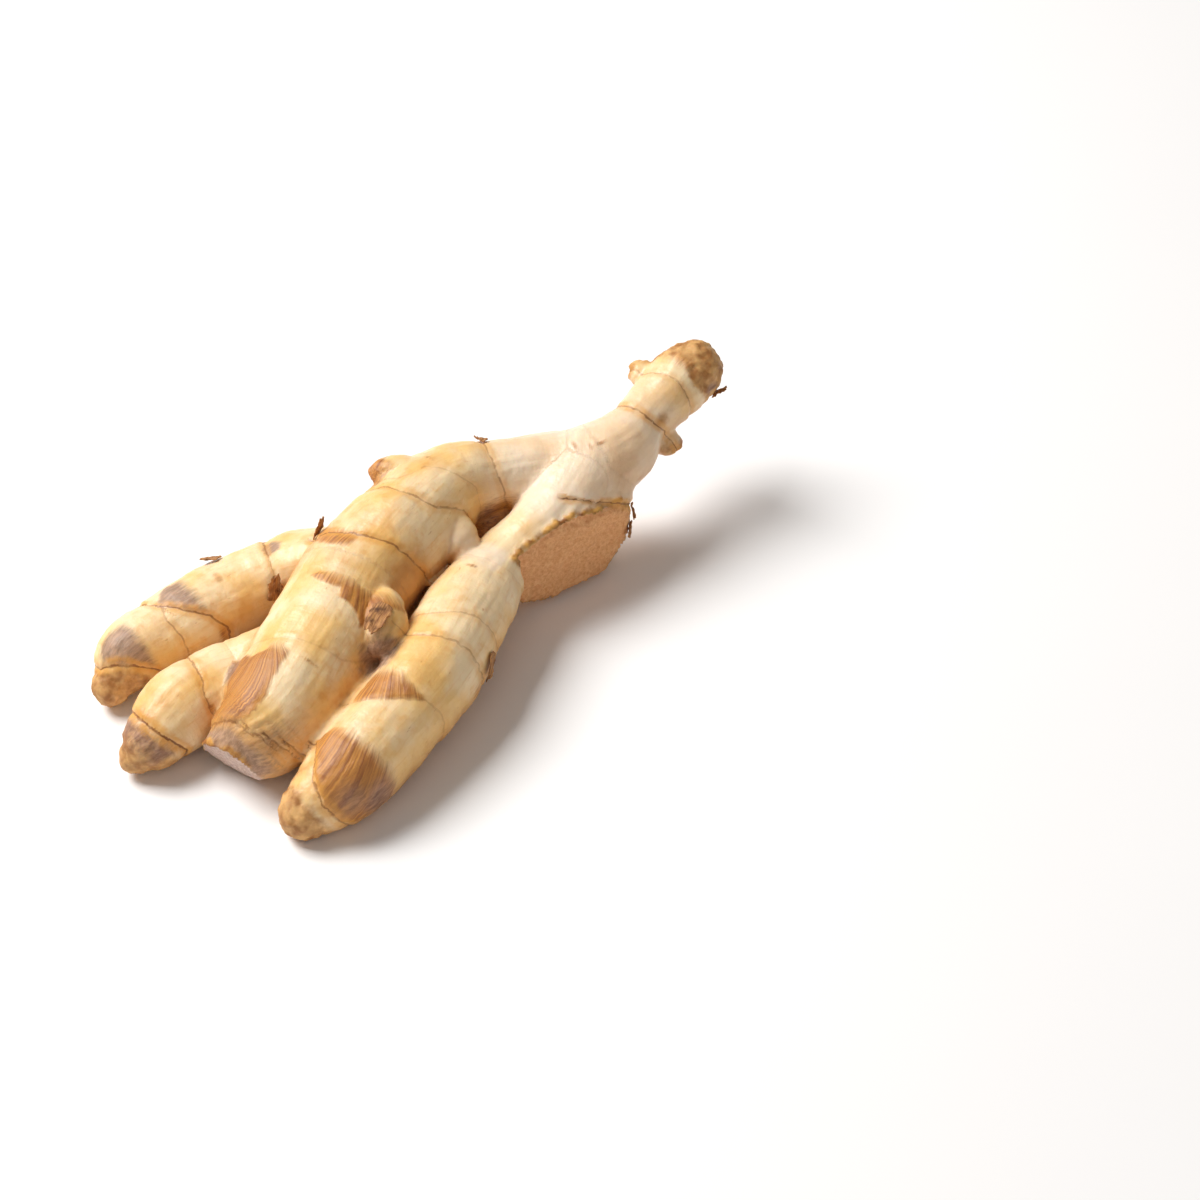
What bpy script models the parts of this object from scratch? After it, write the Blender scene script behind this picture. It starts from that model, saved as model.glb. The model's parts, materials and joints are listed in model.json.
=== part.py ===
"""Hand of fresh ginger, as it comes to rest on a level surface.

The rhizome is one grown piece: limbs swept along curved centrelines, with buds and knobs on them,
fused into one skin.  Two faces are cut through it.  It lies on the belly of its front finger, on a
knob under its rear finger and on the heel of its broken lobe, and is pressed a little flat there;
the second finger's tip just touches too.
The dry remains of scale leaves that stand off its skin are pieces of their own.  Lengths are metres,
+Z is up and the surface is at z = 0.
"""

import math
from dataclasses import dataclass

import bmesh
import bpy
from mathutils import Matrix, Vector
from mathutils.bvhtree import BVHTree

# A limb's length runs along its own centreline, and its width is taken at its fattest place.
MAIN_ARM_LENGTH = 0.0754
MAIN_ARM_WIDTH = 0.0274
BIG_FINGER_LENGTH = 0.0624
BIG_FINGER_WIDTH = 0.0310
SECOND_FINGER_LENGTH = 0.0585
SECOND_FINGER_WIDTH = 0.0203
REAR_FINGER_LENGTH = 0.0828
REAR_FINGER_WIDTH = 0.0209
FRONT_FINGER_LENGTH = 0.1304
FRONT_FINGER_WIDTH = 0.0237
STUB_LENGTH = 0.0411
STUB_WIDTH = 0.0229
LOBE_LENGTH = 0.0272
LOBE_WIDTH = 0.0232
BROKEN_FACE_LENGTH = 0.0370             # across the lobe, from the front finger's flank
BROKEN_FACE_HEIGHT = 0.0190
CUT_TIP_WIDTH = 0.0170
CUT_TIP_DEPTH = 0.0085

CROWN_HEIGHT = 0.026                    # the fork, where the four rear limbs meet
REST_FLAT_DEPTH = 0.0005                # how far the lowest skin is pressed flat
FLOOR_REACH = 0.6                       # side of the block that presses it flat
FLOOR_DEPTH = 0.06
SETTLE_STEPS = 40
SKIN_GRID = 0.0016                      # step of the grid that the limbs are fused on
SKIN_SMOOTHING = 6
SMOOTHING_STRENGTH = 0.5
SKIN_THINNING = 0.19                    # share of the grid's facets that the skin keeps

SCALE_THICKNESS = 0.0007
SCALE_GAP = 0.0004                      # between a dry scale and the skin under it
SCALE_ROOTED = 0.3                      # share of its length that lies behind its place
SCALE_COLUMNS = 4
CLEARING_STEPS = 12

BROKEN_FACE_LOOKS = Vector((0.58, -0.81, -0.05))
CUT_TIP_LOOKS = Vector((-0.44, -0.66, -0.36))
CUT_TIP_PLACE = 0.10                    # how far past the last place, in radii there
RING_SIDES = 20
BUD_RINGS = 10
STEPS_BETWEEN_PLACES = 4
DOME_STEPS = 4
DOME_TURN = math.radians(82)            # how far round a limb's end dome goes

SKIN_COLOUR = (0.80, 0.60, 0.34)
SKIN_ROUGHNESS = 0.5
DRY_COLOUR = (0.30, 0.13, 0.05)
DRY_ROUGHNESS = 0.8


@dataclass(frozen=True)
class Limb:
    """A branch of the root; its route and fatness are shapes, sized by its length and width."""

    length: float
    width: float
    parent: str             # the limb it grows from, or "" at the crown
    parent_share: float     # how far along the parent's length it starts
    route: tuple            # places along the centreline, away from its start, in any one unit
    fatness: tuple          # share of the width at each of those places


@dataclass(frozen=True)
class Bud:
    """A swelling on a limb, egg-shaped along its own direction."""

    limb: str
    share: float        # how far along the limb
    side: tuple         # which way it sits from the centreline
    out: float          # its middle's distance from the centreline, in limb radii
    radius: float
    length: float       # half its length
    points: tuple       # which way its tip points


@dataclass(frozen=True)
class DryScale:
    """A ragged remnant of a scale leaf that lies on the skin and curls up at its free end."""

    name: str
    limb: str
    share: float
    side: tuple         # which way it sits from the centreline
    heading: tuple      # which way its free end points
    length: float
    width: float
    lift: float         # how far the free end stands off the skin
    outline: tuple      # share of the width, from the rooted end to the free end


LIMBS = {
    "main_arm": Limb(
        MAIN_ARM_LENGTH, MAIN_ARM_WIDTH, "", 0.0,
        ((0, 0, 0), (-11, -0.5, 0), (-24, -4, 0.5), (-37, -10, 1), (-47.8, -24, 0), (-58, -38, -3)),
        (0.80, 0.70, 0.70, 0.88, 1.04, 1.08)),
    "big_finger": Limb(
        BIG_FINGER_LENGTH, BIG_FINGER_WIDTH, "main_arm", 1.0,
        ((0, 0, 0), (-6.6, -16, -3), (-14.5, -33, -6), (-20.9, -45, -8), (-26.6, -49, -11),
         (-30.2, -51, -13.6)),
        (0.93, 0.99, 0.97, 0.87, 0.66, 0.50)),
    "second_finger": Limb(
        SECOND_FINGER_LENGTH, SECOND_FINGER_WIDTH, "big_finger", 0.32,
        ((0, 0, 0), (-20.6, -5, -7), (-30.8, -12, -8), (-37.8, -19, -9), (-43.8, -26.6, -11),
         (-46.8, -28.6, -13)),
        (0.80, 0.90, 1.0, 1.0, 0.77, 0.44)),
    "rear_finger": Limb(
        REAR_FINGER_LENGTH, REAR_FINGER_WIDTH, "main_arm", 0.92,
        ((0, 0, 0), (-20.8, 6, -9), (-31.9, 3, -12), (-43, -4, -13), (-54, -13, -14), (-63, -21, -15),
         (-67, -27, -18)),
        (0.85, 0.95, 0.98, 1.0, 0.97, 0.84, 0.49)),
    "front_finger": Limb(
        FRONT_FINGER_LENGTH, FRONT_FINGER_WIDTH, "", 0.0,
        ((0, 0, 0), (-10, -17, -4), (-22, -29, -7), (-30, -44, -8), (-39, -67, -9), (-50, -85, -11),
         (-62, -101, -14), (-70, -108, -17)),
        (0.96, 0.80, 0.70, 0.93, 1.0, 0.99, 0.87, 0.54)),
    "stub": Limb(
        STUB_LENGTH, STUB_WIDTH, "", 0.0,
        ((0, 0, 0), (9, 5, 3), (16, 14, 6), (23, 23, 9), (28, 27, 11)),
        (1.0, 0.86, 0.66, 0.78, 0.70)),
    "lobe": Limb(
        LOBE_LENGTH, LOBE_WIDTH, "", 0.0,
        ((0, 0, 0), (0, -9, -8), (-4, -22, -13)),
        (1.0, 0.95, 0.84)),
}

BUDS = (
    Bud("lobe", 1.0, (0, 0, 1), 0.0, BROKEN_FACE_HEIGHT / 2, BROKEN_FACE_LENGTH / 2, (0.86, 0.5, 0.1)),
    Bud("lobe", 0.6, (0, 0.1, -1), 0.7, 0.0080, 0.0095, (0, 0.1, -1)),
    Bud("big_finger", 0.19, (0.9, -0.36, 0.12), 0.96, 0.0048, 0.0082, (0.0, -1, -0.45)),
    Bud("main_arm", 0.67, (0.78, -0.6, -0.1), 0.98, 0.0045, 0.0068, (0.1, -0.8, -0.6)),
    Bud("main_arm", 0.31, (0.1, -0.45, -0.88), 1.20, 0.0070, 0.0110, (-0.8, -0.55, -0.2)),
    Bud("main_arm", 0.71, (-0.2, 0.8, 0.56), 0.95, 0.0044, 0.0090, (-0.9, -0.1, 0.1)),
    Bud("stub", 0.86, (-0.95, 0.3, 0.1), 1.05, 0.0040, 0.0044, (-1, 0.3, 0.3)),
    Bud("stub", 0.46, (0.77, 0, -0.64), 1.1, 0.0038, 0.0046, (0.8, 0, -0.5)),
    Bud("main_arm", 0.34, (0.2, 0.9, -0.4), 1.0, 0.0050, 0.0070, (-0.4, 0.9, -0.2)),
    Bud("rear_finger", 0.40, (0.1, 0.50, -0.86), 0.90, 0.0048, 0.0074, (-0.2, 0.4, -0.9)),
)

DRY_SCALES = (
    DryScale("scale_knuckle_tuft", "main_arm", 0.96, (-0.79, 0.50, 0.35), (-0.1, 0.5, 1.0),
             0.0080, 0.0056, 0.0024, (0.8, 1.0, 0.9, 0.7, 0.35)),
    DryScale("scale_rear_finger", "rear_finger", 0.53, (-0.30, 0.55, 0.78), (-1.0, -0.3, -0.1),
             0.0080, 0.0040, 0.0014, (0.5, 0.9, 1.0, 0.8, 0.4)),
    DryScale("scale_crotch", "rear_finger", 0.40, (0.38, -0.80, 0.46), (0.2, 0.3, 0.9),
             0.0070, 0.0046, 0.0008, (0.9, 0.8, 1.0, 0.7, 0.3)),
    DryScale("scale_knuckle_curl", "big_finger", 0.25, (0.68, -0.40, 0.62), (-0.4, -0.8, -0.5),
             0.0090, 0.0056, 0.0020, (0.6, 1.0, 0.8, 0.9, 0.5)),
    DryScale("scale_arm_top", "main_arm", 0.37, (-0.05, 0.46, 0.88), (-0.6, 0.5, 0.4),
             0.0036, 0.0026, 0.0008, (0.8, 1.0, 0.7, 0.4)),
    DryScale("scale_stub_end", "stub", 0.96, (0.85, -0.25, -0.46), (0.9, -0.2, 0.3),
             0.0046, 0.0034, 0.0014, (0.9, 1.0, 0.7, 0.3)),
    DryScale("scale_fork_flap", "lobe", 0.42, (1.0, 0.1, 0.05), (0.3, -0.5, -0.8),
             0.0046, 0.0036, 0.0010, (0.7, 1.0, 0.8, 0.4)),
    DryScale("scale_cut_edge", "lobe", 0.62, (1.0, 0.2, -0.1), (0.3, -0.8, -0.3),
             0.0046, 0.0040, 0.0010, (0.6, 1.0, 0.8, 0.5)),
    DryScale("scale_front_finger", "front_finger", 0.55, (0.93, -0.30, 0.10), (0.1, -0.9, -0.4),
             0.0078, 0.0034, 0.0008, (0.5, 1.0, 0.7, 0.9, 0.3)),
)


def clear_scene():
    """Start from an empty scene."""
    for item in list(bpy.data.objects):
        bpy.data.objects.remove(item, do_unlink=True)


def paint(item, name, colour, roughness):
    """Give a piece its own Principled material."""
    material = bpy.data.materials.new(name)
    material.use_nodes = True
    shader = material.node_tree.nodes["Principled BSDF"]
    shader.inputs["Base Color"].default_value = (*colour, 1.0)
    shader.inputs["Roughness"].default_value = roughness
    shader.inputs["Metallic"].default_value = 0.0
    item.data.materials.append(material)


def add_object(name, bm):
    """Turn a bmesh into a named object in the scene."""
    mesh = bpy.data.meshes.new(name)
    bm.to_mesh(mesh)
    bm.free()
    item = bpy.data.objects.new(name, mesh)
    bpy.context.scene.collection.objects.link(item)
    return item


def between(a, b, c, d, t):
    """Smooth (Catmull-Rom) step from b to c; works on numbers and on vectors."""
    return 0.5 * (2 * b + (c - a) * t + (2 * a - 5 * b + 4 * c - d) * t * t
                  + (3 * b - a - 3 * c + d) * t * t * t)


def smooth_run(values):
    """Values along a smooth curve through the given ones."""
    padded = [values[0], *values, values[-1]]
    run = []
    for first in range(len(values) - 1):
        for step in range(STEPS_BETWEEN_PLACES):
            run.append(between(*padded[first:first + 4], step / STEPS_BETWEEN_PLACES))
    return [*run, values[-1]]


def grow(name, grown):
    """Centreline points and radii of a limb, started where it leaves its parent."""
    if name in grown:
        return grown[name]
    limb = LIMBS[name]
    start = Vector((0, 0, CROWN_HEIGHT))
    if limb.parent:
        start = place_on(limb.parent, limb.parent_share, grown)[0]
    points = smooth_run([Vector(place) for place in limb.route])
    unit = limb.length / sum((b - a).length for a, b in zip(points, points[1:]))
    radii = smooth_run([share * limb.width / 2 for share in limb.fatness])
    grown[name] = [start + point * unit for point in points], radii
    return grown[name]


def place_on(name, share, grown):
    """Centreline point, direction and radius at a share of a limb's length."""
    points, radii = grow(name, grown)
    spans = [(b - a).length for a, b in zip(points, points[1:])]
    left = share * sum(spans)
    for index, span in enumerate(spans):
        if left <= span or index == len(spans) - 1:
            t = left / span
            point = points[index].lerp(points[index + 1], t)
            heading = (points[index + 1] - points[index]).normalized()
            return point, heading, radii[index] + (radii[index + 1] - radii[index]) * t
        left -= span


def dome(station, way):
    """Stations of the rounded end past a limb's last (way 1) or first (way -1) station."""
    point, heading, radius = station
    turns = [DOME_TURN * step / DOME_STEPS for step in range(1, DOME_STEPS + 1)]
    return [(point + heading * way * radius * math.sin(turn), heading, radius * math.cos(turn))
            for turn in turns[::way]]


def sweep(bm, points, radii):
    """Add a round, closed limb along the points, with a dome at each end."""
    headings = [(b - a).normalized() for a, b in zip(points, points[1:])]
    headings.append(headings[-1])
    stations = list(zip(points, headings, radii))
    domed = [*dome(stations[0], -1), *stations, *dome(stations[-1], 1)]
    rings = []
    for index, (point, heading, radius) in enumerate(domed):
        turn = heading.to_track_quat("Z", "Y").to_matrix().to_4x4()
        ring = bmesh.ops.create_circle(
            bm, cap_ends=index in (0, len(domed) - 1), segments=RING_SIDES, radius=radius,
            matrix=Matrix.Translation(point) @ turn)["verts"]
        rings.append(list(dict.fromkeys(edge for vert in ring for edge in vert.link_edges)))
    for first, second in zip(rings, rings[1:]):
        bmesh.ops.bridge_loops(bm, edges=first + second)


def add_bud(bm, bud, grown):
    """Add an egg-shaped bud that is rooted inside its limb."""
    point, _, radius = place_on(bud.limb, bud.share, grown)
    middle = point + Vector(bud.side).normalized() * radius * bud.out
    turn = Vector(bud.points).to_track_quat("Z", "Y").to_matrix().to_4x4()
    shape = Matrix.Diagonal((bud.radius, bud.radius, bud.length, 1.0))
    bmesh.ops.create_uvsphere(bm, u_segments=RING_SIDES, v_segments=BUD_RINGS, radius=1.0,
                              matrix=Matrix.Translation(middle) @ turn @ shape)


def fuse_skin(bm):
    """Fuse overlapping closed shapes into one smooth skin and return it as a bmesh."""
    bmesh.ops.recalc_face_normals(bm, faces=bm.faces)
    shapes = add_object("shapes", bm)
    fuse = shapes.modifiers.new("fuse", "REMESH")
    fuse.mode = "VOXEL"
    fuse.voxel_size = SKIN_GRID
    fuse.use_smooth_shade = True
    smooth = shapes.modifiers.new("smooth", "SMOOTH")
    smooth.factor = SMOOTHING_STRENGTH
    smooth.iterations = SKIN_SMOOTHING
    thin = shapes.modifiers.new("thin", "DECIMATE")
    thin.ratio = SKIN_THINNING
    skin = bmesh.new()
    skin.from_object(shapes, bpy.context.evaluated_depsgraph_get())
    bpy.data.objects.remove(shapes, do_unlink=True)
    return skin


def cutting_block(name, middle, looks, size):
    """A hidden block that stands on the cut face at middle, out along the way the face looks."""
    bm = bmesh.new()
    turn = looks.to_track_quat("Z", "Y").to_matrix().to_4x4()
    lift = Matrix.Translation((0, 0, size[2] / 2))
    bmesh.ops.create_cube(bm, size=1.0, matrix=(Matrix.Translation(middle) @ turn @ lift
                                                @ Matrix.Diagonal((*size, 1.0))))
    block = add_object(name, bm)
    block.hide_render = True
    block.display_type = "WIRE"
    return block


def cut_away(item, block):
    """Take the block out of the piece."""
    cut = item.modifiers.new(block.name, "BOOLEAN")
    cut.operation = "DIFFERENCE"
    cut.solver = "EXACT"
    cut.object = block


def evaluated_bmesh(item):
    """The piece with its modifiers, as a bmesh."""
    bm = bmesh.new()
    bm.from_object(item, bpy.context.evaluated_depsgraph_get())
    return bm


def make_rhizome(grown):
    """The whole grown root, fused from its limbs and buds, with its two cut faces."""
    bm = bmesh.new()
    for name in LIMBS:
        sweep(bm, *grow(name, grown))
    for bud in BUDS:
        add_bud(bm, bud, grown)
    rhizome = add_object("rhizome", fuse_skin(bm))

    reach = BROKEN_FACE_LENGTH
    across = Vector((0, 0, 1)).cross(BROKEN_FACE_LOOKS).normalized()
    face_middle = place_on("lobe", 1.0, grown)[0]
    cut_away(rhizome, cutting_block("broken_face", face_middle + across * reach / 2,
                                    BROKEN_FACE_LOOKS, (reach * 2, reach * 2, reach)))
    tip, _, tip_radius = place_on("big_finger", 1.0, grown)
    tip_middle = tip + CUT_TIP_LOOKS.normalized() * tip_radius * CUT_TIP_PLACE
    cut_away(rhizome, cutting_block("cut_tip", tip_middle, CUT_TIP_LOOKS,
                                    (CUT_TIP_WIDTH, CUT_TIP_WIDTH, CUT_TIP_DEPTH)))
    return rhizome


def stand_clear(bm, skin):
    """Push the sheet's facets out until the skin under them and beyond them, as in a crease, has room."""
    for _ in range(CLEARING_STEPS):
        bm.normal_update()
        for face in bm.faces:
            middle = face.calc_center_median()
            for side in (middle, middle + face.normal * SCALE_THICKNESS):
                near, facing, _, _ = skin.find_nearest(side)
                room = (side - near).dot(facing) - SCALE_GAP / 2
                if room < 0:
                    bmesh.ops.translate(bm, verts=face.verts, vec=-facing * room)


def lay_scale(scale, start, skin):
    """Open sheet of a dry scale, laid over the skin from the place that start's side ray meets."""
    hit, normal, _, _ = skin.ray_cast(start, Vector(scale.side))
    along = Vector(scale.heading)
    along = (along - normal * along.dot(normal)).normalized()
    across = normal.cross(along)
    rows = len(scale.outline) - 1
    bm = bmesh.new()
    bmesh.ops.create_grid(bm, x_segments=rows, y_segments=SCALE_COLUMNS, size=0.5)
    for vert in bm.verts:
        share = vert.co.x + 0.5
        width = scale.outline[round(share * rows)] * scale.width
        flat = hit + along * scale.length * (share - SCALE_ROOTED) + across * vert.co.y * width
        near, facing, _, _ = skin.find_nearest(flat)
        away = (facing + normal).normalized()
        vert.co = near + away * (SCALE_GAP + scale.lift * share * share)
    stand_clear(bm, skin)
    return bm


def make_dry_scale(scale, grown, skin):
    """One ragged dry scale leaf, a thin curled sheet."""
    start = place_on(scale.limb, scale.share, grown)[0]
    item = add_object(scale.name, lay_scale(scale, start, skin))
    thick = item.modifiers.new("thickness", "SOLIDIFY")
    thick.thickness = SCALE_THICKNESS
    thick.offset = 1.0
    thick.use_even_offset = True
    return item


def centre_of_mass(bm):
    """Centre of the closed body's volume, summed over the wedges from the origin to each face."""
    wedges = [[vert.co for vert in face.verts] for face in bm.faces]
    volumes = [a.dot(b.cross(c)) / 6 for a, b, c in wedges]
    moments = [(a + b + c) * volume / 4 for (a, b, c), volume in zip(wedges, volumes)]
    return sum(moments, Vector()) / sum(volumes)


def settle(bm):
    """The turn and lift that lay the body on the face of its hull that it comes to rest on."""
    bmesh.ops.triangulate(bm, faces=bm.faces)
    middle = centre_of_mass(bm)
    wrap = bmesh.new()
    for vert in bm.verts:
        wrap.verts.new(vert.co)
    bmesh.ops.convex_hull(wrap, input=wrap.verts)
    hull = BVHTree.FromBMesh(wrap)
    wrap.free()
    down = Vector((0, 0, -1))
    for _ in range(SETTLE_STEPS):
        _, normal, _, _ = hull.ray_cast(middle, down)
        down = normal if normal.dot(down) > 0 else -normal
    turn = down.rotation_difference(Vector((0, 0, -1))).to_matrix().to_4x4()
    lowest = min((turn @ vert.co).z for vert in bm.verts)
    return Matrix.Translation((0, 0, -lowest - REST_FLAT_DEPTH)) @ turn


def centre_on_origin(pieces):
    """Slide everything level, so that the middle of the pieces' box is over the origin."""
    graph = bpy.context.evaluated_depsgraph_get()
    corners = [piece.matrix_world @ vert.co
               for piece in pieces for vert in piece.evaluated_get(graph).data.vertices]
    spans = [(min(values), max(values)) for values in zip(*corners)]
    shift = Matrix.Translation((-sum(spans[0]) / 2, -sum(spans[1]) / 2, 0))
    for item in bpy.data.objects:
        item.matrix_world = shift @ item.matrix_world


def main():
    """Build the root and its dry scales, then lay them down as the root comes to rest."""
    clear_scene()
    grown = {}
    rhizome = make_rhizome(grown)
    paint(rhizome, "ginger_skin", SKIN_COLOUR, SKIN_ROUGHNESS)
    solid = evaluated_bmesh(rhizome)
    skin = BVHTree.FromBMesh(solid)
    pieces = [rhizome]
    for scale in DRY_SCALES:
        pieces.append(make_dry_scale(scale, grown, skin))
        paint(pieces[-1], scale.name, DRY_COLOUR, DRY_ROUGHNESS)

    rest = settle(solid)
    solid.free()
    for item in bpy.data.objects:
        item.matrix_world = rest @ item.matrix_world
    cut_away(rhizome, cutting_block("rest_flats", Vector((0, 0, 0)), Vector((0, 0, -1)),
                                    (FLOOR_REACH, FLOOR_REACH, FLOOR_DEPTH)))
    centre_on_origin(pieces)


main()
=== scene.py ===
"""Looks of a hand of fresh ginger: its living skin, its two bare faces and its dry scale leaves.

The hand is modelled in millimetres in the frame it grew in: level, with its crown, the fork where
the limbs meet, at the origin.  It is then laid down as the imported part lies, and scaled to metres.
A place on a limb is given as a share of the limb's length and as degrees round it, counted from its
upper side.
"""

import json
import logging
import math
from dataclasses import dataclass, field
from enum import Enum

import bmesh
import bpy
import numpy as np
from mathutils import Euler, Matrix, Vector, noise
from mathutils.bvhtree import BVHTree
from mathutils.kdtree import KDTree

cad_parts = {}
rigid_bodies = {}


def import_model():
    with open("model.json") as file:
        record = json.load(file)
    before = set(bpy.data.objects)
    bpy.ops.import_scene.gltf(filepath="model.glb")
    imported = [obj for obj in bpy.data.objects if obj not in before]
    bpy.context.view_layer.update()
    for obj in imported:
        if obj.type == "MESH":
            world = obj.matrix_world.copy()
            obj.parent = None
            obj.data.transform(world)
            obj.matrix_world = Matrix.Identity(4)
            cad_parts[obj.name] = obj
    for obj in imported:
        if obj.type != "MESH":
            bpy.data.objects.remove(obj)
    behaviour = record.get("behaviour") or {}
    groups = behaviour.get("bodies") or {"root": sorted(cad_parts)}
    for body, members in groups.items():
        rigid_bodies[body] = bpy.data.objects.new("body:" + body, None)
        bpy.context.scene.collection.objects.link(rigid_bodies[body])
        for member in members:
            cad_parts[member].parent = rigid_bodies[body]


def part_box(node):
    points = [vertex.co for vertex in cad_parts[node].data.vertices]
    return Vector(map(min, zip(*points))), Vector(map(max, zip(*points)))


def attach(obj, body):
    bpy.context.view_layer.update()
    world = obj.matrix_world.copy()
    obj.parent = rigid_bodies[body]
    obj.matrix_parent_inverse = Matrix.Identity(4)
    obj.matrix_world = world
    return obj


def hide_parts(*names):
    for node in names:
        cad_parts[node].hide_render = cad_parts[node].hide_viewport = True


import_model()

MM = 0.001
UP = Vector((0, 0, 1))
WAVE_SHIFT = (7.3, 3.1, 5.7)        # how far each seed moves a pattern of waves
WAVE_GAIN = 1.6                     # brings their height to about 1

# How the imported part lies: its crown, measured from the lowest corner of its box, and its tilt.
CROWN_IN_BOX = Vector((127.32, 111.92, 26.35))
REST_TILT = Euler(tuple(math.radians(turn) for turn in (2.663, 1.248, 0.029)))

log = logging.getLogger("ginger")


class Layer(Enum):
    """What can lie on the skin, with the painted shade of its folds and underside; each is -1 where there is
    none of it, 0 at its edge and 1 in full.
    """

    HUSK = "husk"           # orange-brown foot of a sheath leaf
    DUSK = "dusk"           # grey-purple bloom of a weathered sheath
    AMBER = "amber"         # warm, glassy tinge of ripe skin
    CORK = "cork"           # dry, crackled tan bark
    TENDER = "tender"       # pale pink young skin
    CREASE = "painted_shade"       # painted shade: deep ochre in the folds and on the downward-facing belly
    RIM = "rim"             # torn golden lip round a bare face
    BROKEN = "broken"       # old broken flesh
    CUT = "cut"             # dried cut flesh


class Joining(Enum):
    """How a limb meets the ones it grows from."""

    FLOWING = "flowing"     # one smooth saddle of skin
    CREASED = "creased"     # pushed out beside them, with a tight crease


@dataclass(frozen=True)
class Limb:
    """A branch of the hand; its route and fatness are shapes, sized by its length and width."""

    length: float
    width: float
    parent: str             # the limb it grows from, or "" at the crown
    parent_share: float
    joining: Joining
    route: tuple
    fatness: tuple          # share of the width at each place of the route


@dataclass(frozen=True)
class Bud:
    """A swelling on a limb, egg-shaped along its own direction."""

    limb: str
    share: float
    side: tuple             # which way it sits from the centreline
    out: float              # its middle's distance from the centreline, in limb radii
    radius: float
    length: float           # half its length
    points: tuple           # which way its tip points
    joining: Joining = Joining.CREASED
    tip: Layer | None = None        # what its tip is weathered with


@dataclass(frozen=True)
class Scar:
    """A ring or torn edge drawn across a limb's skin, with what it does to the surface."""

    limb: str
    places: tuple
    stain: float            # how brown its line is
    groove: float = 0.25    # mm
    waist: float = 0.25     # mm that the limb narrows on both sides of it
    step: float = 0.2       # mm that the skin on the crown's side stands higher
    torn: float = 0.3       # how ragged it is
    loose: float = 0.0      # radii by which it may run over skin that is nearer other limbs


@dataclass(frozen=True)
class Patch:
    """An outlined area of a layer on a limb's skin."""

    layer: Layer
    limb: str
    places: tuple
    soft: float = 0.5       # mm over which its edge fades
    fade: float = 0.0       # mm over which it comes in from the crown's side
    swell: float = 0.0      # mm that it stands proud
    root: tuple = ()        # (share, degrees) that its fibres fan out from


@dataclass(frozen=True)
class Blot:
    """A soft round spot of a layer on a limb's skin."""

    layer: Layer
    limb: str
    share: float
    degrees: float
    along: float            # its radius along the limb, mm
    around: float           # its radius round the limb, mm
    strength: float = 1.0
    loose: float = 0.0      # radii by which it may run over skin that is nearer other limbs


def round_ring(share: float, lean: float = 0.0, turn: float = 0.0, wave: float = 0.0) -> tuple:
    """Places of a ring that runs right round a limb.

    Args:
        share: Where its middle is, as a share of the limb's length.
        lean: How far it leans along the limb to each side, in shares.
        turn: The degrees at which it reaches furthest.
        wave: How far it waves, in shares.

    Returns:
        (share, degrees) places from -180 to 180 degrees.
    """
    return tuple((share + lean * math.cos(math.radians(at - turn)) + wave * math.sin(math.radians(3 * at)),
                  at) for at in range(-180, 181, 15))


LIMBS = {
    "main_arm": Limb(
        75.4, 27.4, "", 0.0, Joining.FLOWING,
        ((0, 0, 0), (-11, -0.5, 0), (-24, -4, 0.5), (-37, -10, 1), (-47.8, -24, 0), (-58, -38, -3)),
        (0.80, 0.70, 0.70, 0.88, 1.04, 1.08)),
    "big_finger": Limb(
        62.4, 31.0, "main_arm", 1.0, Joining.FLOWING,
        ((0, 0, 0), (-6.6, -16, -3), (-14.5, -33, -6), (-20.9, -45, -8), (-26.6, -49, -11),
         (-30.2, -51, -13.6)),
        (0.93, 0.99, 0.97, 0.87, 0.66, 0.50)),
    "second_finger": Limb(
        58.5, 20.3, "big_finger", 0.32, Joining.FLOWING,
        ((0, 0, 0), (-20.6, -5, -7), (-30.8, -12, -8), (-37.8, -19, -9), (-43.8, -26.6, -11),
         (-46.8, -28.6, -13)),
        (0.80, 0.90, 1.0, 1.0, 0.77, 0.44)),
    "rear_finger": Limb(
        82.8, 20.9, "main_arm", 0.92, Joining.CREASED,
        ((0, 0, 0), (-20.8, 6, -9), (-31.9, 3, -12), (-43, -4, -13), (-54, -13, -14), (-63, -21, -15),
         (-67, -27, -18)),
        (0.85, 0.95, 0.98, 1.0, 0.97, 0.84, 0.49)),
    "front_finger": Limb(
        130.4, 23.7, "", 0.0, Joining.FLOWING,
        ((0, 0, 0), (-10, -17, -4), (-22, -29, -7), (-30, -44, -8), (-39, -67, -9), (-50, -85, -11),
         (-62, -101, -14), (-70, -108, -17)),
        (0.96, 0.80, 0.70, 0.93, 1.0, 0.99, 0.87, 0.54)),
    "stub": Limb(
        41.1, 22.9, "", 0.0, Joining.FLOWING,
        ((0, 0, 0), (9, 5, 3), (16, 14, 6), (23, 23, 9), (28, 27, 11)),
        (1.0, 0.86, 0.66, 0.78, 0.70)),
    "lobe": Limb(
        27.2, 23.2, "", 0.0, Joining.FLOWING,
        ((0, 0, 0), (0, -9, -8), (-4, -22, -13)),
        (1.0, 0.95, 0.84)),
}

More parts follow.
